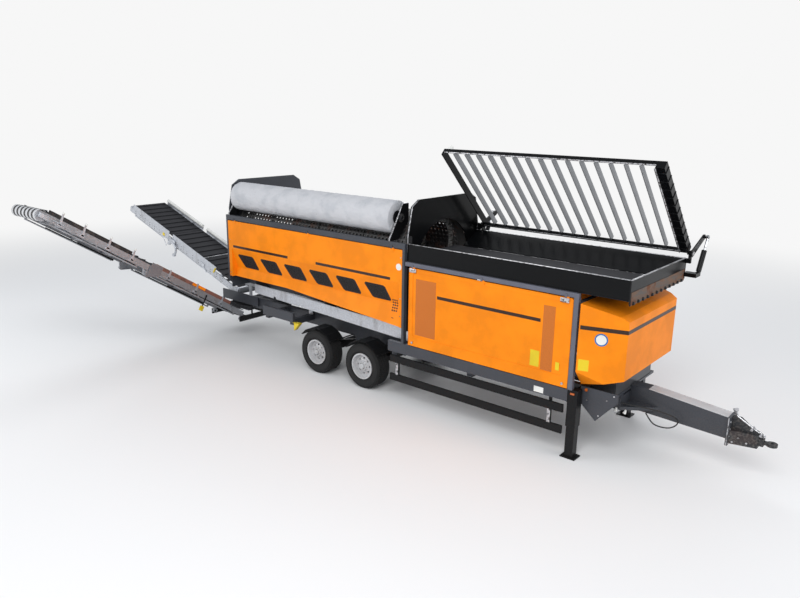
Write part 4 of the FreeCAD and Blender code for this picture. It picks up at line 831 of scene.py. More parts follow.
@dataclass
class ScreenDrum:
    """Punched screen sheet with its rings and spiral flights, in place of the plain tube."""

    middle_z: float = 2.62
    radius: float = 1.0
    wall: float = 0.012
    rear: float = -3.54
    front: float = 1.65
    ring_radius: float = 1.03
    ring_width: float = 0.09
    pitch: float = 0.1
    hole: float = 0.021
    flight: float = 0.16
    turns: float = 3.5
    starts: int = 2

    def sheet(self) -> Forge:
        """Grid of square cells with an eight-sided hole each, rolled into the tube."""
        forge = Forge()
        start, end = self.rear + 0.16, self.front - 0.2
        columns = round((end - start) / self.pitch)
        rows = round(2 * math.pi * self.radius / self.pitch)
        wide, tall = (end - start) / columns, 2 * math.pi / rows
        mesh = forge.mesh
        for column in range(columns):
            for row in range(rows):
                middle = Vector((start + (column + 0.5) * wide, (row + 0.5) * tall))
                inner, outer = [], []
                for corner in range(8):
                    angle = math.pi / 4 * corner
                    reach = 1.0 if corner % 2 == 0 else math.sqrt(2)
                    inner.append(mesh.verts.new((middle.x + self.hole * math.cos(angle),
                                                 (middle.y * self.radius + self.hole * math.sin(angle)), 0.0)))
                    outer.append(mesh.verts.new((middle.x + wide / 2 * reach * math.cos(angle),
                                                 middle.y * self.radius + tall * self.radius / 2 * reach
                                                 * math.sin(angle), 0.0)))
                for corner in range(8):
                    after = (corner + 1) % 8
                    mesh.faces.new((inner[corner], outer[corner], outer[after], inner[after]))
        self._roll(forge)
        bmesh.ops.remove_doubles(mesh, verts=mesh.verts, dist=1e-4)
        return forge

    def _roll(self, forge: Forge) -> None:
        """Roll a flat sheet, X along the drum and Y round it, into the tube."""
        for vert in forge.mesh.verts:
            angle = vert.co.y / self.radius
            reach = self.radius - vert.co.z
            vert.co = Vector((vert.co.x, reach * math.sin(angle), self.middle_z + reach * math.cos(angle)))

    def rings(self) -> Forge:
        """Running rings, end bands and the stiffening hoops between them."""
        forge = Forge()
        centre = (0.0, 0.0, self.middle_z)
        inner = self.radius - self.wall
        for start, end in ((self.rear, self.rear + 0.16), (self.front - 0.2, self.front)):
            forge.turned([(inner, start), (self.radius, start), (self.radius, end), (inner, end)], centre,
                         Axis.X, 96)
        for start in (self.rear + 0.005, self.front - 0.06 - self.ring_width):
            forge.turned([(self.radius - 0.001, start), (self.ring_radius, start),
                          (self.ring_radius, start + self.ring_width), (self.radius - 0.001,
                                                                        start + self.ring_width)],
                         centre, Axis.X, 96)
        for number in range(3):
            spot = self.rear + 1.3 + number * 1.3
            forge.turned([(self.radius - 0.002, spot), (self.radius + 0.018, spot),
                          (self.radius + 0.018, spot + 0.012),
                          (self.radius - 0.002, spot + 0.012)], centre, Axis.X, 96)
        return forge

    def flights(self) -> Forge:
        """Spiral flights that carry the load along the inside of the drum."""
        forge = Forge()
        length = self.front - self.rear - 0.1
        for number in range(self.starts):
            phase = 2 * math.pi * number / self.starts
            verts = [forge.mesh.verts.new((reach * math.cos(phase), reach * math.sin(phase), 0.0))
                     for reach in (self.radius - self.wall, self.radius - self.wall - self.flight)]
            line = forge.mesh.edges.new(verts)
            bmesh.ops.spin(forge.mesh, geom=verts + [line], cent=(0, 0, 0), axis=(0, 0, 1),
                           dvec=(0, 0, length / (36 * self.turns)), angle=2 * math.pi * self.turns,
                           steps=round(36 * self.turns))
        forge.moved(Matrix.Translation((self.rear + 0.05, 0, self.middle_z)) @ Axis.X.turn)
        bmesh.ops.recalc_face_normals(forge.mesh, faces=forge.mesh.faces)
        bmesh.ops.solidify(forge.mesh, geom=forge.mesh.faces, thickness=0.008)
        return forge

    def build(self) -> None:
        """Make the drum and hide the plain one."""

        def thicken(made: bpy.types.Object) -> None:
            """Give the punched sheet its wall."""
            wall = made.modifiers.new("wall", "SOLIDIFY")
            wall.thickness = self.wall
            wall.offset = -1.0

        sheet = self.sheet().piece("drum_screen_sheet", SHADED_DRUM_STEEL, "drum", dress=thicken)
        self.rings().piece("drum_rings", SHADED_DRUM_STEEL, "drum")
        self.flights().piece("drum_flights", FLIGHT_STEEL, "drum")
        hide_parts("drum")


@dataclass
class CleaningBrush:
    """Bristle roll along the top of the drum, its hub discs, and the edges of its carriers."""

    centre: Triple = (0.0, -0.93, 3.60)
    radius: float = 0.325
    rear: float = -3.435
    front: float = 1.34

    def roll(self) -> Forge:
        """Uneven bristle surface with slightly hollow ends."""
        forge = Forge()
        steps = 120
        profile = [(0.13, self.rear + 0.02), (self.radius - 0.03, self.rear),
                   (self.radius - 0.006, self.rear + 0.012)]
        for number in range(1, steps):
            profile.append((self.radius - 0.006, self.rear + (self.front - self.rear) * number / steps))
        profile += [(self.radius - 0.006, self.front - 0.012), (self.radius - 0.03, self.front),
                    (0.13, self.front - 0.02)]
        forge.turned(profile, self.centre, Axis.X, 96)
        dice = random.Random(7)
        centre = Vector(self.centre)
        for vert in forge.mesh.verts:
            away = vert.co - centre
            away.x = 0.0
            if away.length > 0.2:
                vert.co += away.normalized() * dice.uniform(-0.008, 0.006)
                vert.co.x += dice.uniform(-0.006, 0.006)
        return forge

    def hubs(self) -> Forge:
        """Shaft and hub discs at both ends."""
        forge = Forge()
        for spot, out in ((self.rear, -1), (self.front, 1)):
            forge.turned([(0.02, spot - out * 0.04), (0.125, spot - out * 0.04),
                          (0.125, spot + out * 0.004),
                          (0.02, spot + out * 0.004)], self.centre, Axis.X, 40)
        forge.bar((self.rear - 0.07, self.centre[1], self.centre[2]), (self.front + 0.07, self.centre[1],
                                                                       self.centre[2]),
                  0.03, 20)
        return forge

    def carriers(self) -> Forge:
        """Bright flanges along the sloping edges of the carrier plates."""
        forge = Forge()
        outline = ((-1.251, 3.185), (-1.251, 3.23), (-1.171, 3.33), (-0.866, 3.861), (-0.71, 3.861))
        for middle in (-3.500, 1.400):
            forge.rod([(middle, *spot) for spot in outline], 0.014, 8)
        return forge

    def bearings(self) -> Forge:
        """Flanged bearings on the outsides of the carriers."""
        forge = Forge()
        for spot, out in ((-3.511, -1), (1.416, 1)):
            forge.turned([(0.032, spot), (0.085, spot), (0.085, spot + out * 0.012),
                          (0.05, spot + out * 0.02),
                          (0.05, spot + out * 0.04), (0.032, spot + out * 0.04)], self.centre, Axis.X, 32)
        return forge

    def build(self) -> None:
        """Make the brush and hide the plain roll."""
        roll = self.roll().piece("brush_roll", BRISTLE, "brush", smooth=80.0)
        self.hubs().piece("brush_hubs", BLACK, "brush")
        self.carriers().piece("brush_carrier_edges", BRIGHT, "machine")
        self.bearings().piece("brush_bearings", CAST, "machine")
        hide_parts("brush")


@dataclass
class DrumDoors:
    """Stripes, window mesh and the blank disc of the two long doors."""

    face: float = BODY_FACE
    crease: float = 2.41
    waist: float = 1.93
    waist_y: float = 1.11
    skirt: float = 1.52
    skirt_y: float = 1.235
    windows: int = 6
    first: float = -3.27
    pitch: float = 0.8
    stripe: Pair = (2.428, 2.484)
    wire: float = 0.0018

    def skin(self, height: float) -> float:
        """How far the door's face stands out at a height."""
        if height >= self.crease:
            return self.face
        if height >= self.waist:
            share = (self.crease - height) / (self.crease - self.waist)
            return self.face - (self.face - self.waist_y) * share
        share = (self.waist - height) / (self.waist - self.skirt)
        return self.waist_y + (self.skirt_y - self.waist_y) * share

    def stripes(self, side: Side) -> Forge:
        """Dark stripe in two runs, with a bare place between them."""
        forge = Forge()
        out = side.value * self.face
        rows = span(out, out + side.value * PROUD)
        for start, end in ((-3.40, -1.51), (-0.63, 1.43)):
            forge.box((start, end), rows, self.stripe)
        return forge

    def mesh(self, side: Side) -> Forge:
        """Dark seal and sheet over each window, flush with the door's leaning face; the sheet is painted shade of the
        inside seen through the window.
        """
        forge = Forge()
        low, high = 1.968, 2.282
        for number in range(self.windows):
            left = self.first + number * self.pitch
            outline = [(left + 0.02, high), (left + 0.49, high), (left + 0.535, high - 0.03),
                       (left + 0.635, low + 0.04),
                       (left + 0.61, low), (left + 0.18, low), (left + 0.13, low + 0.03), (left - 0.015,
                                                                                           high - 0.04)]
            forge.flat(outline, Axis.Y, (0.0, PROUD))
        for vert in forge.mesh.verts:
            vert.co.y = side.value * (self.skin(vert.co.z) - 0.0005 + vert.co.y)
        return forge

    def weave(self, side: Side) -> Forge:
        """Crossed wires over the dark sheets."""
        forge = Forge()
        low, high = 1.995, 2.255
        for number in range(self.windows):
            left = self.first + number * self.pitch
            for row in range(12):
                spot_z = low + row * (high - low) / 11
                lean = 0.155 * (high - spot_z) / (high - low)
                depth = side.value * (self.skin(spot_z) + 0.001)
                forge.bar((left + 0.015 + lean, depth, spot_z), (left + 0.485 + 0.68 * lean, depth, spot_z),
                          self.wire, 4)
            for column in range(20):
                top_x, low_x = left + 0.02 + column * 0.0242, left + 0.18 + column * 0.0212
                forge.bar((low_x, side.value * (self.skin(low) + 0.001), low),
                          (top_x, side.value * (self.skin(high) + 0.001), high), self.wire, 4)
        return forge

    def fittings(self, side: Side) -> Forge:
        """Bolt heads down the door's ends."""
        forge = Forge()
        out = side.value
        spots = [(1.69, out * self.face, spot_z) for spot_z in (1.75, 2.1, 2.9)]
        spots += [(-3.51, out * self.face, spot_z) for spot_z in (1.75, 1.82, 2.6)]
        return forge.bolts(spots, Axis.Y, 0.012, out * 0.008)

    def holes(self, side: Side) -> Forge:
        """Three by five small vents and the slot under them, on the door's skin, as dark marks of painted shade."""
        forge = Forge()
        gap = 0.052
        marks = [(1.410 + column * gap, 1.800 + row * gap, 0.017, 0.016)
                 for column in range(3) for row in range(5)]
        for spot_x, spot_z, wide, tall in marks + [(1.45, 1.66, 0.028, 0.006)]:
            low, high = self.skin(spot_z - tall), self.skin(spot_z + tall)
            forge.flat([(side.value * (low - 0.001), spot_z - tall),
                        (side.value * (low + 0.001), spot_z - tall),
                        (side.value * (high + 0.001), spot_z + tall), (side.value * (high - 0.001),
                                                                       spot_z + tall)],
                       Axis.X, (spot_x - wide, spot_x + wide))
        return forge

    def disc(self, side: Side) -> Forge:
        """Blank white disc near the front end."""
        low, high = (side.value * (self.face + step) for step in (-0.0005, PROUD))
        return Forge().bar((1.64, low, 2.715), (1.64, high, 2.715), 0.065, 40)

    def build(self) -> None:
        """Dress both doors."""
        for side in Side:
            body = f"drum_door_{side.word}"
            self.stripes(side).piece(f"{body}_stripes", STRIPE, body)
            self.mesh(side).piece(f"{body}_window_backs", WINDOW_SHADE_BLACK, body)
            self.weave(side).piece(f"{body}_window_wires", BLACK, body)
            self.fittings(side).piece(f"{body}_bolts", BRIGHT, body)
            self.holes(side).piece(f"{body}_vents", WINDOW_SHADE_BLACK, body)
            self.disc(side).piece(f"{body}_disc", WHITE, body)


@dataclass
class ServiceDoors:
    """Vent bands darkened with painted shade, stripe, sloping border and hinges of the doors under the hopper."""

    face: float = BODY_FACE
    field_face: float = 1.242
    rear: float = 1.90
    front: float = 5.264
    low: float = 1.225
    top: float = 2.745

    def bands(self, side: Side) -> Forge:
        """Two upright bands of punched sheet."""
        out = side.value * self.field_face
        rows = span(out, out + side.value * 0.003)
        return Forge().box((2.06, 2.53), rows, (1.46, 2.55)).box((4.745, 4.96), rows, (1.43, 2.55))

    def stripe(self, side: Side) -> Forge:
        """Dark stripe between the bands."""
        out = side.value * self.field_face
        return Forge().box((2.56, 4.70), span(out, out + side.value * 0.002), (2.246, 2.305))

    def border(self, side: Side) -> Forge:
        """Sloping border under the field."""
        out = side.value
        lip, base = out * (self.face + 0.004), out * (self.face - 0.01)
        outline = [(out * self.field_face, 1.43), (lip, 1.25), (lip, self.low), (base, self.low),
                   (base, 1.43)]
        return Forge().flat(outline, Axis.X, (self.rear, self.front))

    def edges(self, side: Side) -> Forge:
        """Thin folded edges round the door."""
        forge = Forge()
        out = side.value
        rows = span(out * (self.face - 0.004), out * (self.face + 0.005))
        forge.box((self.rear, self.rear + 0.012), rows, (self.low, self.top))
        forge.box((self.front - 0.012, self.front), rows, (self.low, self.top))
        forge.box((self.rear, self.front), rows, (self.top - 0.012, self.top))
        return forge

    def fittings(self, side: Side) -> Forge:
        """Silvery hinge covers, latches and bolts."""
        forge = Forge()
        out = side.value
        for spot_x in (1.975, 5.10):
            rows = span(out * (self.face + 0.012), out * (self.face + 0.024))
            forge.box((spot_x - 0.06, spot_x + 0.10), rows, (2.665, 2.740), 0.004)
        for spot_x in (2.0, 5.17):
            forge.bar((spot_x, out * self.face, 1.29), (spot_x, out * (self.face + 0.02), 1.29), 0.022, 16)
        return forge

    def signs(self) -> Forge:
        """Blank yellow signs near the front edge of the right door."""
        forge = Forge().box((4.545, 4.715), (-self.field_face - PROUD, -self.field_face), (1.46, 1.74))
        return forge.box((5.025, 5.095), (-self.face - PROUD, -self.face), (1.49, 1.63))

    def build(self) -> None:
        """Dress both doors."""
        self.signs().piece("service_door_signs", YELLOW, "service_door_right")
        for side in Side:
            body = f"service_door_{side.word}"
            self.bands(side).piece(f"{body}_vent_bands", VENT_ORANGE_AND_SHADE, body)
            self.stripe(side).piece(f"{body}_stripe", STRIPE, body)
            self.border(side).piece(f"{body}_border", ORANGE, body)
            self.edges(side).piece(f"{body}_edges", ORANGE, body)
            self.fittings(side).piece(f"{body}_fittings", BRIGHT, body)


@dataclass
class Hood:
    """Stripe round the hood and its blank blue-rimmed discs."""

    rear: float = 5.39
    front: float = 6.12
    half_rear: float = 1.25
    half_front: float = 1.03
    stripe: Pair = (2.272, 2.337)

    def band(self) -> Forge:
        """Stripe on both sides and across the front."""
        forge = Forge()
        start, wide = self.rear + 0.02, self.half_rear - 0.004
        for side in Side:
            out = side.value
            points = [(start, out * wide), (self.front, out * self.half_front),
                      (self.front + PROUD, out * (self.half_front + PROUD)), (start,
                                                                              out * (wide + PROUD * 2))]
            forge.flat(points, Axis.Z, self.stripe)
        forge.box((self.front - 0.002, self.front + PROUD), (-self.half_front, self.half_front),
                  self.stripe)
        return forge

    def sign(self) -> Forge:
        """Blank yellow sign low on the right side."""
        slope = (self.half_rear - self.half_front) / (self.front - self.rear)
        spots = [(spot, -self.half_rear + slope * (spot - self.rear)) for spot in (5.42, 5.58)]
        outline = spots + [(spot, row - 0.002) for spot, row in reversed(spots)]
        return Forge().flat(outline, Axis.Z, (1.58, 1.77))

    def disc(self, radius: float, proud: float) -> Forge:
        """Disc on each slanting side of the hood."""
        forge = Forge()
        share = 0.473
        for side in Side:
            run = Vector((self.front - self.rear, side.value * (self.half_front - self.half_rear), 0.0))
            run.normalize()
            out = Vector((-run.y, run.x, 0.0)) * (-side.value)
            out = out if out.y * side.value > 0 else -out
            spot = Vector((self.rear + share * (self.front - self.rear),
                           side.value * (self.half_rear + share * (self.half_front - self.half_rear)), 2.135))
            forge.bar(tuple(spot - out * 0.001), tuple(spot + out * proud), radius, 40)
        return forge

    def build(self) -> None:
        """Dress the hood."""
        self.band().piece("hood_stripe", STRIPE, "hood")
        self.disc(0.105, 0.0012).piece("hood_disc_rims", BLUE, "hood")
        self.disc(0.082, 0.0022).piece("hood_discs", WHITE, "hood")
        self.sign().piece("hood_sign", YELLOW, "hood")


@dataclass
class FeedHopper:
    """Bright rims, wear plate, bolt covers and flanges of the hopper and its bulkhead."""

    rear: float = 1.80
    front: float = 6.15
    rim_z: float = 3.17
    bulkhead: float = 1.78

    def rims(self) -> Forge:
        """Polished upper edges of the walls."""
        forge = Forge()
        rows = (self.rim_z - 0.002, self.rim_z + 0.006)
        for side in Side:
            forge.box((self.rear + 0.01, self.front), span(side.value * 1.142, side.value * 1.188), rows,
                      0.003)
        return forge.box((self.front - 0.03, self.front + 0.004), (-1.178, 1.178), rows, 0.003)

    def edge_bars(self) -> Forge:
        """Bright flanges on the near and top edges of the bulkhead."""
        forge = Forge()
        spots = ((1.162, 3.00), (1.162, 3.33), (1.05, 3.852), (0.85, 3.972))
        for side in Side:
            forge.rod([(self.bulkhead + 0.004, side.value * row, height) for row, height in spots], 0.011,
                      8)
        return forge

    def stand(self) -> Forge:
        """Black flanges that stand forward from the bulkhead's edges."""
        forge = Forge()
        for side in Side:
            rows = span(side.value * 1.152, side.value * 1.162)
            forge.box((self.bulkhead, self.bulkhead + 0.10), rows, (3.175, 3.32))
        return forge

    def wear_plate(self) -> Forge:
        """Rust-brown plate along the foot of the front wall."""
        return Forge().box((self.front, self.front + 0.006), (-1.16, 1.16), (2.775, 2.98))

    def lumps(self) -> Forge:
        """Row of dark rounded bolt covers along the wear plate's lower edge."""
        forge = Forge()
        for number in range(12):
            spot = (self.front + 0.004, -1.08 + number * 0.19, 2.80)
            forge.bar(spot, (spot[0] + 0.03, spot[1], spot[2]), 0.032, 14, 0.02)
        return forge

    def ribs(self) -> Forge:
        """Long stiffeners on the outsides of the side walls and their front corner flanges."""
        forge = Forge()
        for side in Side:
            rows = span(side.value * 1.188, side.value * 1.198)
            forge.box((6.135, 6.153), rows, (2.80, 3.168))
            forge.box((self.bulkhead + 0.03, 6.14), rows, (2.842, 2.856))
        return forge

    def build(self) -> None:
        """Dress the hopper and the bulkhead."""
        self.rims().piece("hopper_rims", BRIGHT, "machine")
        self.edge_bars().piece("bulkhead_edges", BRIGHT, "machine")
        self.stand().piece("bulkhead_flanges", BLACK, "machine")
        self.wear_plate().piece("hopper_wear_plate", RUSTY, "machine")
        self.lumps().piece("hopper_bolt_covers", BLACK, "machine")
        self.ribs().piece("hopper_ribs", BLACK, "machine")


@dataclass
class TippingGrate:
    """Ribs of the front channel, bright edges with a painted highlight on the top rail, hinge tabs and shaft nuts of
    the grate.
    """

    hinge: Pair = (1.12, 3.27)
    angle: float = 44.0
    length: float = 2.21
    rear: float = 1.99
    front: float = 6.20
    depth: float = 0.14

    @property
    def place(self) -> Matrix:
        """From the grate's own frame, Y across it and Z through it, to the machine's."""
        return (Matrix.Translation((0.0, *self.hinge)) @ Matrix.Rotation(math.radians(-self.angle), 4, "X"))

    def ribs(self) -> Forge:
        """Cross ribs over the front channel's underside and face."""
        forge = Forge()
        for number in range(11):
            spot = -0.12 - number * (self.length - 0.24) / 10
            forge.box((self.front - 0.130, self.front - 0.003), (spot - 0.008, spot + 0.008),
                      (-0.010, 0.002))
            forge.box((self.front - 0.002, self.front + 0.010), (spot - 0.008, spot + 0.008),
                      (0.004, self.depth - 0.004))
        return forge.moved(self.place)

    def edges(self) -> Forge:
        """Bright rolled edges of the front channel and the hinge rail, and a bright bar along the top rail that is a
        painted highlight on it.
        """
        forge = Forge()
        forge.bar((self.front - 0.150, -self.length + 0.01, -0.010), (self.front - 0.150, -0.02, -0.010),
                  0.016, 12)
        # painted highlight: bright bar along the top rail
        forge.bar((self.rear + 0.02, -self.length + 0.025, self.depth - 0.062),
                  (self.front - 0.15, -self.length + 0.025, self.depth - 0.062), 0.016, 12)
        forge.bar((self.rear + 0.02, -0.045, -0.002), (self.front - 0.15, -0.045, -0.002), 0.008, 10)
        return forge.moved(self.place)

    def tabs(self) -> Forge:
        """Small tabs where each slat meets the hinge rail."""
        forge = Forge()
        pitch = (self.front - 0.15 - self.rear) / 16
        for number in range(15):
            spot = self.rear + (number + 1) * pitch
            forge.box((spot - 0.035, spot + 0.035), (-0.075, -0.035), (-0.006, 0.031), 0.002)
        return forge.moved(self.place)

    def bolts(self) -> Forge:
        """Nuts on both ends of the lever shaft."""
        forge = Forge()
        for start, end in ((6.270, 6.288), (1.90, 1.886)):
            forge.bar((start, *self.hinge), (end, *self.hinge), 0.042, 6)
        return forge

    def build(self) -> None:
        """Dress the grate."""
        self.ribs().piece("grate_ribs", BLACK, "grate")
        self.edges().piece("grate_bright_edges", BRIGHT, "grate")
        self.tabs().piece("grate_tabs", BLACK, "grate")
        self.bolts().piece("grate_shaft_nuts", BRIGHT, "grate")


@dataclass
class Conveyor:
    """Dressing of one belt conveyor: a place, its sections and its half width."""

    place: Matrix
    half: float
    fold: float
    head: float
    near: int

    def arms(self, spots: Sequence[float], top: float) -> Forge:
        """Skirt arms up the near side, each on a short block at its foot."""
        forge = Forge()
        for spot in spots:
            rows = span(self.near * (self.half - 0.001), self.near * (self.half + 0.012))
            forge.flat([(-spot - 0.03, -0.03), (-spot + 0.03, -0.03), (-spot - 0.01, top),
                        (-spot - 0.045, top)],
                       Axis.Y, rows)
            forge.box((-spot - 0.06, -spot + 0.04), rows, (-0.05, 0.0))
        return forge.moved(self.place)

    def caps(self, spots: Sequence[float], top: float) -> Forge:
        """White caps on the arms."""
        forge = Forge()
        for spot in spots:
            middle = (-spot - 0.028, self.near * (self.half + 0.004), top)
            forge.bar(middle, (middle[0], middle[1], top + 0.045), 0.026, 14, 0.018)
        return forge.moved(self.place)

    def bolts(self, start: float, end: float, count: int) -> Forge:
        """Bolt heads along both channels."""
        forge = Forge()
        for number in range(count):
            spot = start + (end - start) * (number + 0.5) / count
            for side in SIDES:
                forge.bolts([(-spot, side * self.half, height) for height in (0.035, -0.035)], Axis.Y,
                            0.010, side * 0.007)
        return forge.moved(self.place)

    def fold_plates(self) -> Forge:
        """Stiffening plates over the fold, with the bosses of its pins."""
        forge = Forge()
        outline = ((0.03, 0.14), (0.32, 0.14), (0.32, -0.06), (0.06, -0.20), (-0.005, -0.20),
                   (0.012, -0.06))
        pins = ((0.0, -0.16, 0.002, 0.016, 0.028, 16), (0.11, 0.03, 0.008, 0.018, 0.05, 24))
        for side in SIDES:
            rows = span(side * (self.half - 0.001), side * (self.half + 0.010))
            forge.flat([(along - self.fold, height) for along, height in outline], Axis.Y, rows)
            for along, height, low, high, radius, sides in pins:
                spot = -self.fold + along
                forge.bar((spot, side * (self.half + low), height), (spot, side * (self.half + high),
                                                                     height),
                          radius, sides)
        return forge.moved(self.place)


@dataclass
class SideConveyor:
    """Banded head roller with painted highlight on its light bands, skirt arms, rams, worn plates and reflector of the
    side conveyor.
    """

    body: Conveyor = field(default_factory=lambda: Conveyor(
        SIDE_PLACE, 0.535, 2.90, 5.50, -1))
    roller: float = 0.110
    belt: float = 0.095

    def bands(self, odd: bool) -> Forge:
        """Every other band round the head roller, over the belt's wrap; the light set is painted highlight on the
        belt's cleats.
        """
        forge = Forge()
        count = 13
        width = 2 * (self.body.half - 0.035) / count
        for number in range(1 if odd else 0, count, 2):
            start = -(self.body.half - 0.035) + number * width
            reach = self.roller + 0.006
            forge.turned([(0.03, start), (reach, start), (reach, start + width), (0.03, start + width)],
                         (-self.body.head + 0.06, 0.0, self.belt - self.roller), Axis.Y, 36)
        return forge.moved(self.body.place)

    def head_frame(self) -> Forge:
        """Bearings and tension screws beside the head roller."""
        forge = Forge()
        for side in SIDES:
            spot = -self.body.head + 0.06
            forge.box((spot - 0.06, spot + 0.22), span(side * 0.500, side * 0.548), (-0.055, 0.03), 0.006)
            forge.bar((spot, side * 0.535, self.belt - self.roller),
                      (spot, side * 0.560, self.belt - self.roller), 0.045, 20)
            forge.bar((spot + 0.20, side * 0.552, 0.0), (spot + 0.46, side * 0.552, 0.0), 0.011, 8)
        return forge.moved(self.body.place)

    def rams(self, upper: bool) -> Forge:
        """Long thin folding ram under the near side, with its sleeve."""
        forge = Forge()
        start, end = ((-self.body.fold - 0.25, -self.body.head + 0.7) if upper else (-0.45,
                                                                                     -self.body.fold + 0.35))
        for side in SIDES:
            row = side * (self.body.half - 0.05)
            middle = start + (end - start) * 0.55
            for first, second, radius, sides in ((start, middle, 0.020, 14), (middle, end, 0.011, 12)):
                forge.bar((first, row, -0.088), (second, row, -0.088), radius, sides)
        return forge.moved(self.body.place)

    def worn_strips(self) -> Forge:
        """Worn red guard strips inside the skirts of the lower section."""
        forge = Forge()
        for side in SIDES:
            rows = span(side * (self.body.half - 0.016), side * (self.body.half - 0.0085))
            forge.box((-self.body.fold + 0.14, -0.52), rows, (0.07, 0.149))
        return forge.moved(self.body.place)

    def patch(self) -> Forge:
        """Fresh orange repair on the near skirt of the lower section."""
        rows = (-self.body.half - 0.002, -self.body.half)
        return Forge().box((-1.71, -1.32), rows, (0.085, 0.148)).moved(self.body.place)

    def reflector(self) -> Forge:
        """Square reflector that hangs under the lower section."""
        return Forge().box((-1.29, -1.17), (-0.562, -0.554), (-0.37, -0.25), 0.003).moved(self.body.place)

    def hanger(self) -> Forge:
        """Flat bracket of the reflector."""
        forge = Forge()
        forge.box((-1.245, -1.215), (-0.554, -0.5495), (-0.30, 0.02))
        return forge.box((-1.245, -1.215), (-0.5495, -0.534), (-0.02, 0.02)).moved(self.body.place)

    def build(self) -> None:
        """Dress both sections."""
        body = self.body
        upper = (3.35, 3.95, 4.55, 5.05)
        # light bands: painted highlight on the belt's cleats
        self.bands(False).piece("side_head_highlight_bands", RIM, "side_upper")
        self.bands(True).piece("side_head_dark_bands", HOSE, "side_upper")
        self.head_frame().piece("side_head_bearings", ZINC, "side_upper")
        body.arms(upper, 0.19).piece("side_upper_arms", ZINC, "side_upper")
        body.caps(upper, 0.19).piece("side_upper_caps", WHITE, "side_upper")
        body.arms((0.75, 1.55, 2.35), 0.17).piece("side_lower_arms", ZINC, "side_lower")
        self.rams(True).piece("side_upper_rams", BLACK, "side_upper")
        self.rams(False).piece("side_lower_rams", BLACK, "side_lower")
        self.worn_strips().piece("side_worn_strips", WORN_RED, "side_lower")
        self.reflector().piece("side_reflector", YELLOW, "side_lower")
        self.hanger().piece("side_reflector_hanger", BLACK, "side_lower")
        self.patch().piece("side_skirt_patch", ORANGE, "side_lower")
        body.fold_plates().piece("side_fold_plates", ZINC_DARK, "side_lower")
        body.bolts(3.1, 5.3, 9).piece("side_upper_bolts", BRIGHT, "side_upper")
        body.bolts(0.3, 2.6, 9).piece("side_lower_bolts", BRIGHT, "side_lower")


@dataclass
class RearConveyor:
    """Guard tube, fold brackets, spill rod and bolts of the rear conveyor."""

    body: Conveyor = field(default_factory=lambda: Conveyor(
        Matrix.Translation((-4.45, 0, 1.04)) @ Matrix.Rotation(math.radians(18.8), 4, "Y")
        @ Matrix.Translation((0, 0, 0.12)), 0.555, 2.90, 4.81, -1))

    def tube(self, start: float, end: float) -> Forge:
        """Pale rolled edge on top of the far skirt."""
        row = self.body.half - 0.012
        return Forge().bar((-start, row, 0.222), (-end, row, 0.222), 0.042, 20).moved(self.body.place)

    def hook(self) -> Forge:
        """Curved folding arm under the fold on the near side, and its ball."""
        forge = Forge()
        row = -self.body.half - 0.042
        spots = [(-2.62 + 0.16 * math.sin(math.radians(angle)),
                  -0.02 - 0.17 * (1 - math.cos(math.radians(angle))))
                 for angle in range(0, 136, 15)]
        forge.rod([(along, row, height) for along, height in spots], 0.032)
        forge.box((-2.80, -2.56), (row, row + 0.0415), (-0.065, 0.065), 0.006)
        along, height = spots[-1]
        forge.bar((along, row - 0.030, height), (along, row + 0.030, height), 0.048, 20)
        return forge.moved(self.body.place)

    def links(self) -> Forge:
        """Thin locking rod by the fold and the brackets near the tail."""
        forge = Forge()
        row = -self.body.half - 0.010
        forge.bar((-3.16, row, -0.045), (-2.95, row, -0.25), 0.010, 8)
        forge.box((-1.45, -1.22), (row - 0.004, row + 0.010), (-0.06, 0.05), 0.004)
        forge.bar((-1.33, row, 0.0), (-1.10, row, -0.12), 0.016, 10)
        return forge.moved(self.body.place)

    def spill_rod(self) -> Forge:
        """Rod across the belt over its lower part."""
        return Forge().bar((-1.32, -0.53, 0.19), (-1.32, 0.53, 0.19), 0.010, 10).moved(self.body.place)

    def chain(self) -> Forge:
        """Yellow safety chain across the tail, as joined links."""
        forge = Forge()
        for number in range(9):
            start = -0.02 - number * 0.055
            wide = 0.014 if number % 2 else 0.006
            along, height = start * 0.1, 0.16 + start * 0.3
            forge.box((along - 0.80, along - 0.76), (-0.56 - wide, -0.56 + wide),
                      (height - 0.012, height + 0.012), 0.003)
        return forge.moved(self.body.place)

    def label(self) -> Forge:
        """Blank yellow label on the near side."""
        return Forge().box((-3.20, -3.10), (-self.body.half - PROUD, -self.body.half),
                           (-0.03, 0.05)).moved(self.body.place)

    def build(self) -> None:
        """Dress both sections."""
        body = self.body
        self.tube(2.93, 4.70).piece("rear_upper_tube", WHITE, "rear_upper")
        self.tube(0.78, 2.72).piece("rear_lower_tube", WHITE, "rear_lower")
        self.hook().piece("rear_fold_hook", ZINC, "rear_lower")
        self.links().piece("rear_links", ZINC, "rear_lower")
        self.spill_rod().piece("rear_spill_rod", BRIGHT, "rear_lower")
        self.chain().piece("rear_chain", YELLOW, "rear_lower")
        self.label().piece("rear_label", YELLOW, "rear_upper")
        body.bolts(3.0, 4.7, 7).piece("rear_upper_bolts", CAST, "rear_upper")
        body.bolts(0.3, 2.7, 9).piece("rear_lower_bolts", CAST, "rear_lower")


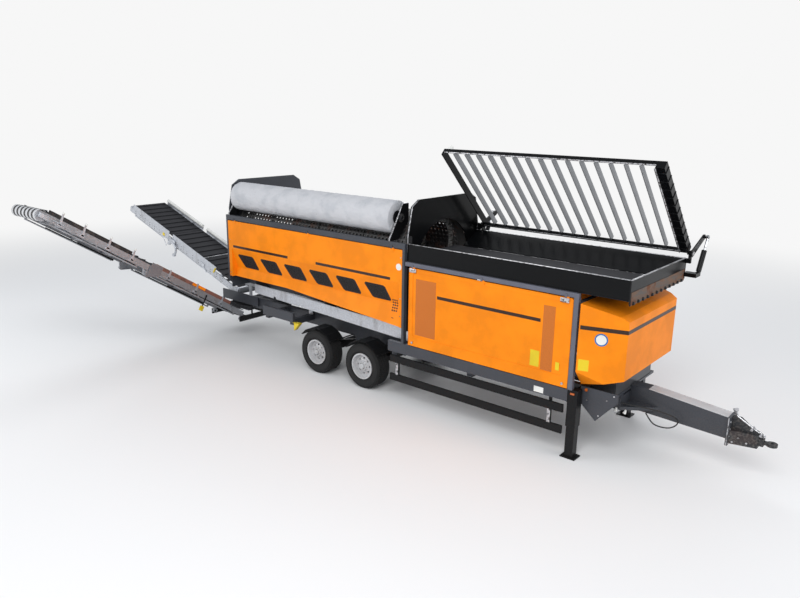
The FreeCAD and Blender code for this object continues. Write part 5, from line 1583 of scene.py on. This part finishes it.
@dataclass
class Undercarriage:
    """Drawbar edges, hand crank, hose, plates and bolts from the sills down."""

    def beam_highlights(self) -> Forge:
        """Bright upper edges of the drawbar and the bright top of its flange, a painted highlight."""
        forge = Forge()
        # painted highlight on the drawbar's upper edges and top
        for row in (-0.118, 0.118):
            forge.bar((6.21, row, 1.130), (7.495, row, 1.0015), 0.009, 10)
        forge.flat([(6.21, 1.1285), (7.495, 1.0), (7.495, 1.0045), (6.21, 1.133)], Axis.Y, (-0.115, 0.115))
        return forge

    def flange(self) -> Forge:
        """Bright edges and bolts of the two flanges."""
        forge = Forge()
        for row in (-0.165, 0.165):
            forge.bar((7.520, row, 0.545), (7.520, row, 1.005), 0.009, 8)
        spots = [(7.54, side * 0.135, spot) for side in SIDES for spot in (0.58, 0.70, 0.82, 0.94)]
        return forge.bolts(spots, Axis.X, 0.016, 0.014)

    def crank(self) -> Forge:
        """Brake lever with its mushroom knob, link and bell crank on the head."""
        forge = Forge()
        for start, end, *sizes in (((7.62, 0.0, 0.93), (7.57, 0.0, 1.09), 0.020, 12),
                                   ((7.57, 0.0, 1.085), (7.56, 0.0, 1.125), 0.032, 18, 0.046),
                                   ((7.60, -0.035, 1.03), (7.95, -0.035, 0.84), 0.014, 10),
                                   ((7.72, 0.03, 0.93), (8.02, 0.03, 0.79), 0.012, 10),
                                   ((7.84, -0.07, 0.865), (7.84, 0.07, 0.865), 0.022, 12)):
            forge.bar(start, end, *sizes)
        forge.box((7.88, 8.00), (-0.028, 0.028), (0.765, 0.80), 0.006)
        return forge

    def head_bolts(self) -> Forge:
        """Bolts and a bright pin on the cast head."""
        forge = Forge()
        for side in SIDES:
            for spot_x, spot_z in ((7.60, 0.62), (7.68, 0.70), (7.80, 0.64)):
                row = side * (0.150 - 0.095 * (spot_x - 7.54) / 0.41)
                forge.bar((spot_x, row, spot_z), (spot_x, row + side * 0.016, spot_z), 0.016, 6)
        forge.bar((8.02, 0.0, 0.75), (8.02, 0.0, 0.80), 0.018, 14)
        return forge

    def hose(self) -> Forge:
        """Loop of air hose from the front plate to the beam, sagging under it."""
        knots = [Vector(spot) for spot in ((5.70, -0.60, 0.95), (6.00, -0.45, 0.90), (6.42, -0.30, 0.86),
                                           (6.72, -0.24, 0.80), (6.76, -0.22, 0.69), (6.62, -0.22, 0.58),
                                           (6.38, -0.22, 0.58), (6.20, -0.16, 0.72))]
        spots = []
        padded = [knots[0]] + knots + [knots[-1]]
        for first, second, third, fourth in zip(padded, padded[1:], padded[2:], padded[3:]):
            for number in range(8):
                share = number / 8
                spots.append(0.5 * ((2 * second) + (third - first) * share
                                    + (2 * first - 5 * second + 4 * third - fourth) * share ** 2
                                    + (3 * second - first - 3 * third + fourth) * share ** 3))
        return Forge().rod(spots, 0.011, 10)

    def couplings(self) -> Forge:
        """White hose couplings under the front plates."""
        forge = Forge()
        for spot_x in (5.86, 6.02):
            forge.bar((spot_x, -0.62, 0.80), (spot_x + 0.02, -0.62, 0.86), 0.030, 12, 0.014)
        return forge

    def cheek_bolts(self) -> Forge:
        """Pins and bolts of the front plates."""
        spots = [(along, -1.012, height) for along, height in ((5.52, 1.02), (5.74, 0.80), (5.86, 1.10),
                                                               (5.98, 1.20))]
        return Forge().bolts(spots, Axis.Y, 0.014, -0.010)

    def plates(self) -> Forge:
        """Bright faces of the side guards' brackets."""
        forge = Forge()
        for side in SIDES:
            rows = span(side * 1.2505, side * 1.2535)
            for spot in (1.60, 4.935):
                forge.box((spot, spot + 0.06), rows, (0.54, 0.78))
        return forge

    def label(self) -> Forge:
        """Blank white label on the sill."""
        return Forge().box((4.66, 4.84), (-BODY_FACE - PROUD, -BODY_FACE), (1.02, 1.12))

    def build(self) -> None:
        """Dress the chassis."""
        self.beam_highlights().piece("drawbar_edges", RIM, "machine")
        self.flange().piece("drawbar_flange_bolts", BRIGHT, "machine")
        self.crank().piece("brake_lever", BRIGHT, "machine")
        self.head_bolts().piece("drawbar_head_bolts", BRIGHT, "machine")
        self.hose().piece("air_hose", HOSE, "machine", smooth=80.0)
        self.couplings().piece("hose_couplings", WHITE, "machine")
        self.cheek_bolts().piece("front_plate_bolts", BRIGHT, "machine")
        self.plates().piece("guard_faces", BRIGHT, "machine")
        self.label().piece("sill_label", WHITE, "machine")


@dataclass
class Studio:
    """Floor, lamps, world and the camera at the photograph's angle."""

    camera: Triple = (10.187, -11.528, 5.628)
    azimuth: float = 39.60
    elevation: float = 14.83
    roll: float = 0.853
    focal_px: float = 720.3
    frame_px: float = 800.0
    floor_tone: float = 0.86

    def place_camera(self) -> None:
        """Camera from its measured place and angles."""
        data = bpy.data.cameras.new("photo_camera")
        data.sensor_width = 36.0
        data.sensor_fit = "HORIZONTAL"
        data.lens = 36.0 * self.focal_px / self.frame_px
        data.clip_end = 500.0
        made = bpy.data.objects.new("photo_camera", data)
        turn = (Matrix.Rotation(math.radians(self.azimuth), 4, "Z")
                @ Matrix.Rotation(math.radians(90 - self.elevation), 4, "X")
                @ Matrix.Rotation(math.radians(self.roll), 4, "Z"))
        made.matrix_world = Matrix.Translation(Vector(self.camera) + SHIFT) @ turn
        bpy.context.scene.collection.objects.link(made)
        bpy.context.scene.camera = made

    def lay_floor(self) -> None:
        """Wide plain floor."""
        mesh = bmesh.new()
        bmesh.ops.create_grid(mesh, x_segments=1, y_segments=1, size=150.0)
        data = bpy.data.meshes.new("floor")
        mesh.to_mesh(data)
        mesh.free()
        floor = bpy.data.objects.new("floor", data)
        graph = Graph("floor_paint")
        tone = self.floor_tone
        graph.set(Base_Color=(tone, tone, tone, 1.0), Roughness=0.9, Specular_IOR_Level=0.2)
        away = graph.node("ShaderNodeVectorMath", {"operation": "LENGTH"}, {0: graph.place()},
                          output="Value")
        glow = graph.tree.nodes.new("ShaderNodeEmission")
        glow.inputs["Color"].default_value = (*BACKDROP, 1.0)
        blend = graph.tree.nodes.new("ShaderNodeMixShader")
        graph.feed(blend.inputs[0], away.step(11.0, 26.0))
        graph.tree.links.new(graph.shader.outputs[0], blend.inputs[1])
        graph.tree.links.new(glow.outputs[0], blend.inputs[2])
        graph.tree.links.new(blend.outputs[0], graph.tree.nodes["Material Output"].inputs["Surface"])
        data.materials.append(graph.material)
        bpy.context.scene.collection.objects.link(floor)

    def hang_lamp(self, name: str, place: Triple, aim: Triple, size: float, power: float) -> None:
        """Square soft lamp that faces a point.

        Args:
            name: Name of the lamp.
            place: Where it hangs, in the machine's frame.
            aim: What it faces.
            size: Length of its side.
            power: Watts.
        """
        data = bpy.data.lights.new(name, "AREA")
        data.size = size
        data.energy = power
        made = bpy.data.objects.new(name, data)
        spot, target = Vector(place) + SHIFT, Vector(aim) + SHIFT
        turn = (spot - target).to_track_quat("Z", "Y").to_matrix().to_4x4()
        made.matrix_world = Matrix.Translation(spot) @ turn
        bpy.context.scene.collection.objects.link(made)

    def light(self) -> None:
        """Soft lamps round the machine and a pale world."""
        for name, place, aim, size, power in (("key", (9.0, -13.0, 13.0), (0.0, 0.0, 1.5), 9.0, 1500.0),
                                              ("fill", (-11.0, -14.0, 8.0), (-2.0, 0.0, 1.5), 10.0, 800.0),
                                              ("back", (-6.0, 14.0, 12.0), (0.0, 0.0, 2.0), 10.0, 950.0),
                                              ("nose", (18.0, 2.0, 7.0), (4.0, 0.0, 1.5), 7.0, 450.0)):
            self.hang_lamp(name, place, aim, size, power)
        world = bpy.data.worlds.new("studio")
        world.use_nodes = True
        bpy.context.scene.world = world
        tree = world.node_tree
        path = tree.nodes.new("ShaderNodeLightPath")
        seen = tree.nodes.new("ShaderNodeMath")
        seen.operation = "MAXIMUM"
        tree.links.new(path.outputs["Is Camera Ray"], seen.inputs[0])
        tree.links.new(path.outputs["Is Transmission Ray"], seen.inputs[1])
        blend = tree.nodes.new("ShaderNodeMix")
        blend.data_type = "RGBA"
        blend.inputs[6].default_value = (0.52, 0.54, 0.57, 1.0)
        blend.inputs[7].default_value = (*BACKDROP, 1.0)
        tree.links.new(seen.outputs[0], blend.inputs[0])
        ground = tree.nodes["Background"]
        tree.links.new(blend.outputs[2], ground.inputs["Color"])
        ground.inputs["Strength"].default_value = 1.0

    def build(self) -> None:
        """Set the stage."""
        self.place_camera()
        self.lay_floor()
        self.light()
        bpy.context.scene.view_settings.view_transform = "Standard"


def main() -> None:
    """Build the scene in order."""
    logging.basicConfig(level=logging.INFO, format="%(name)s: %(message)s")
    Studio().build()
    for part in (CadFinishes(), Wheels(), ScreenDrum(), CleaningBrush(), DrumDoors(), ServiceDoors(),
                 Hood(),
                 FeedHopper(), TippingGrate(), SideConveyor(), RearConveyor(), Undercarriage()):
        part.build()


if __name__ == "__main__":
    main()
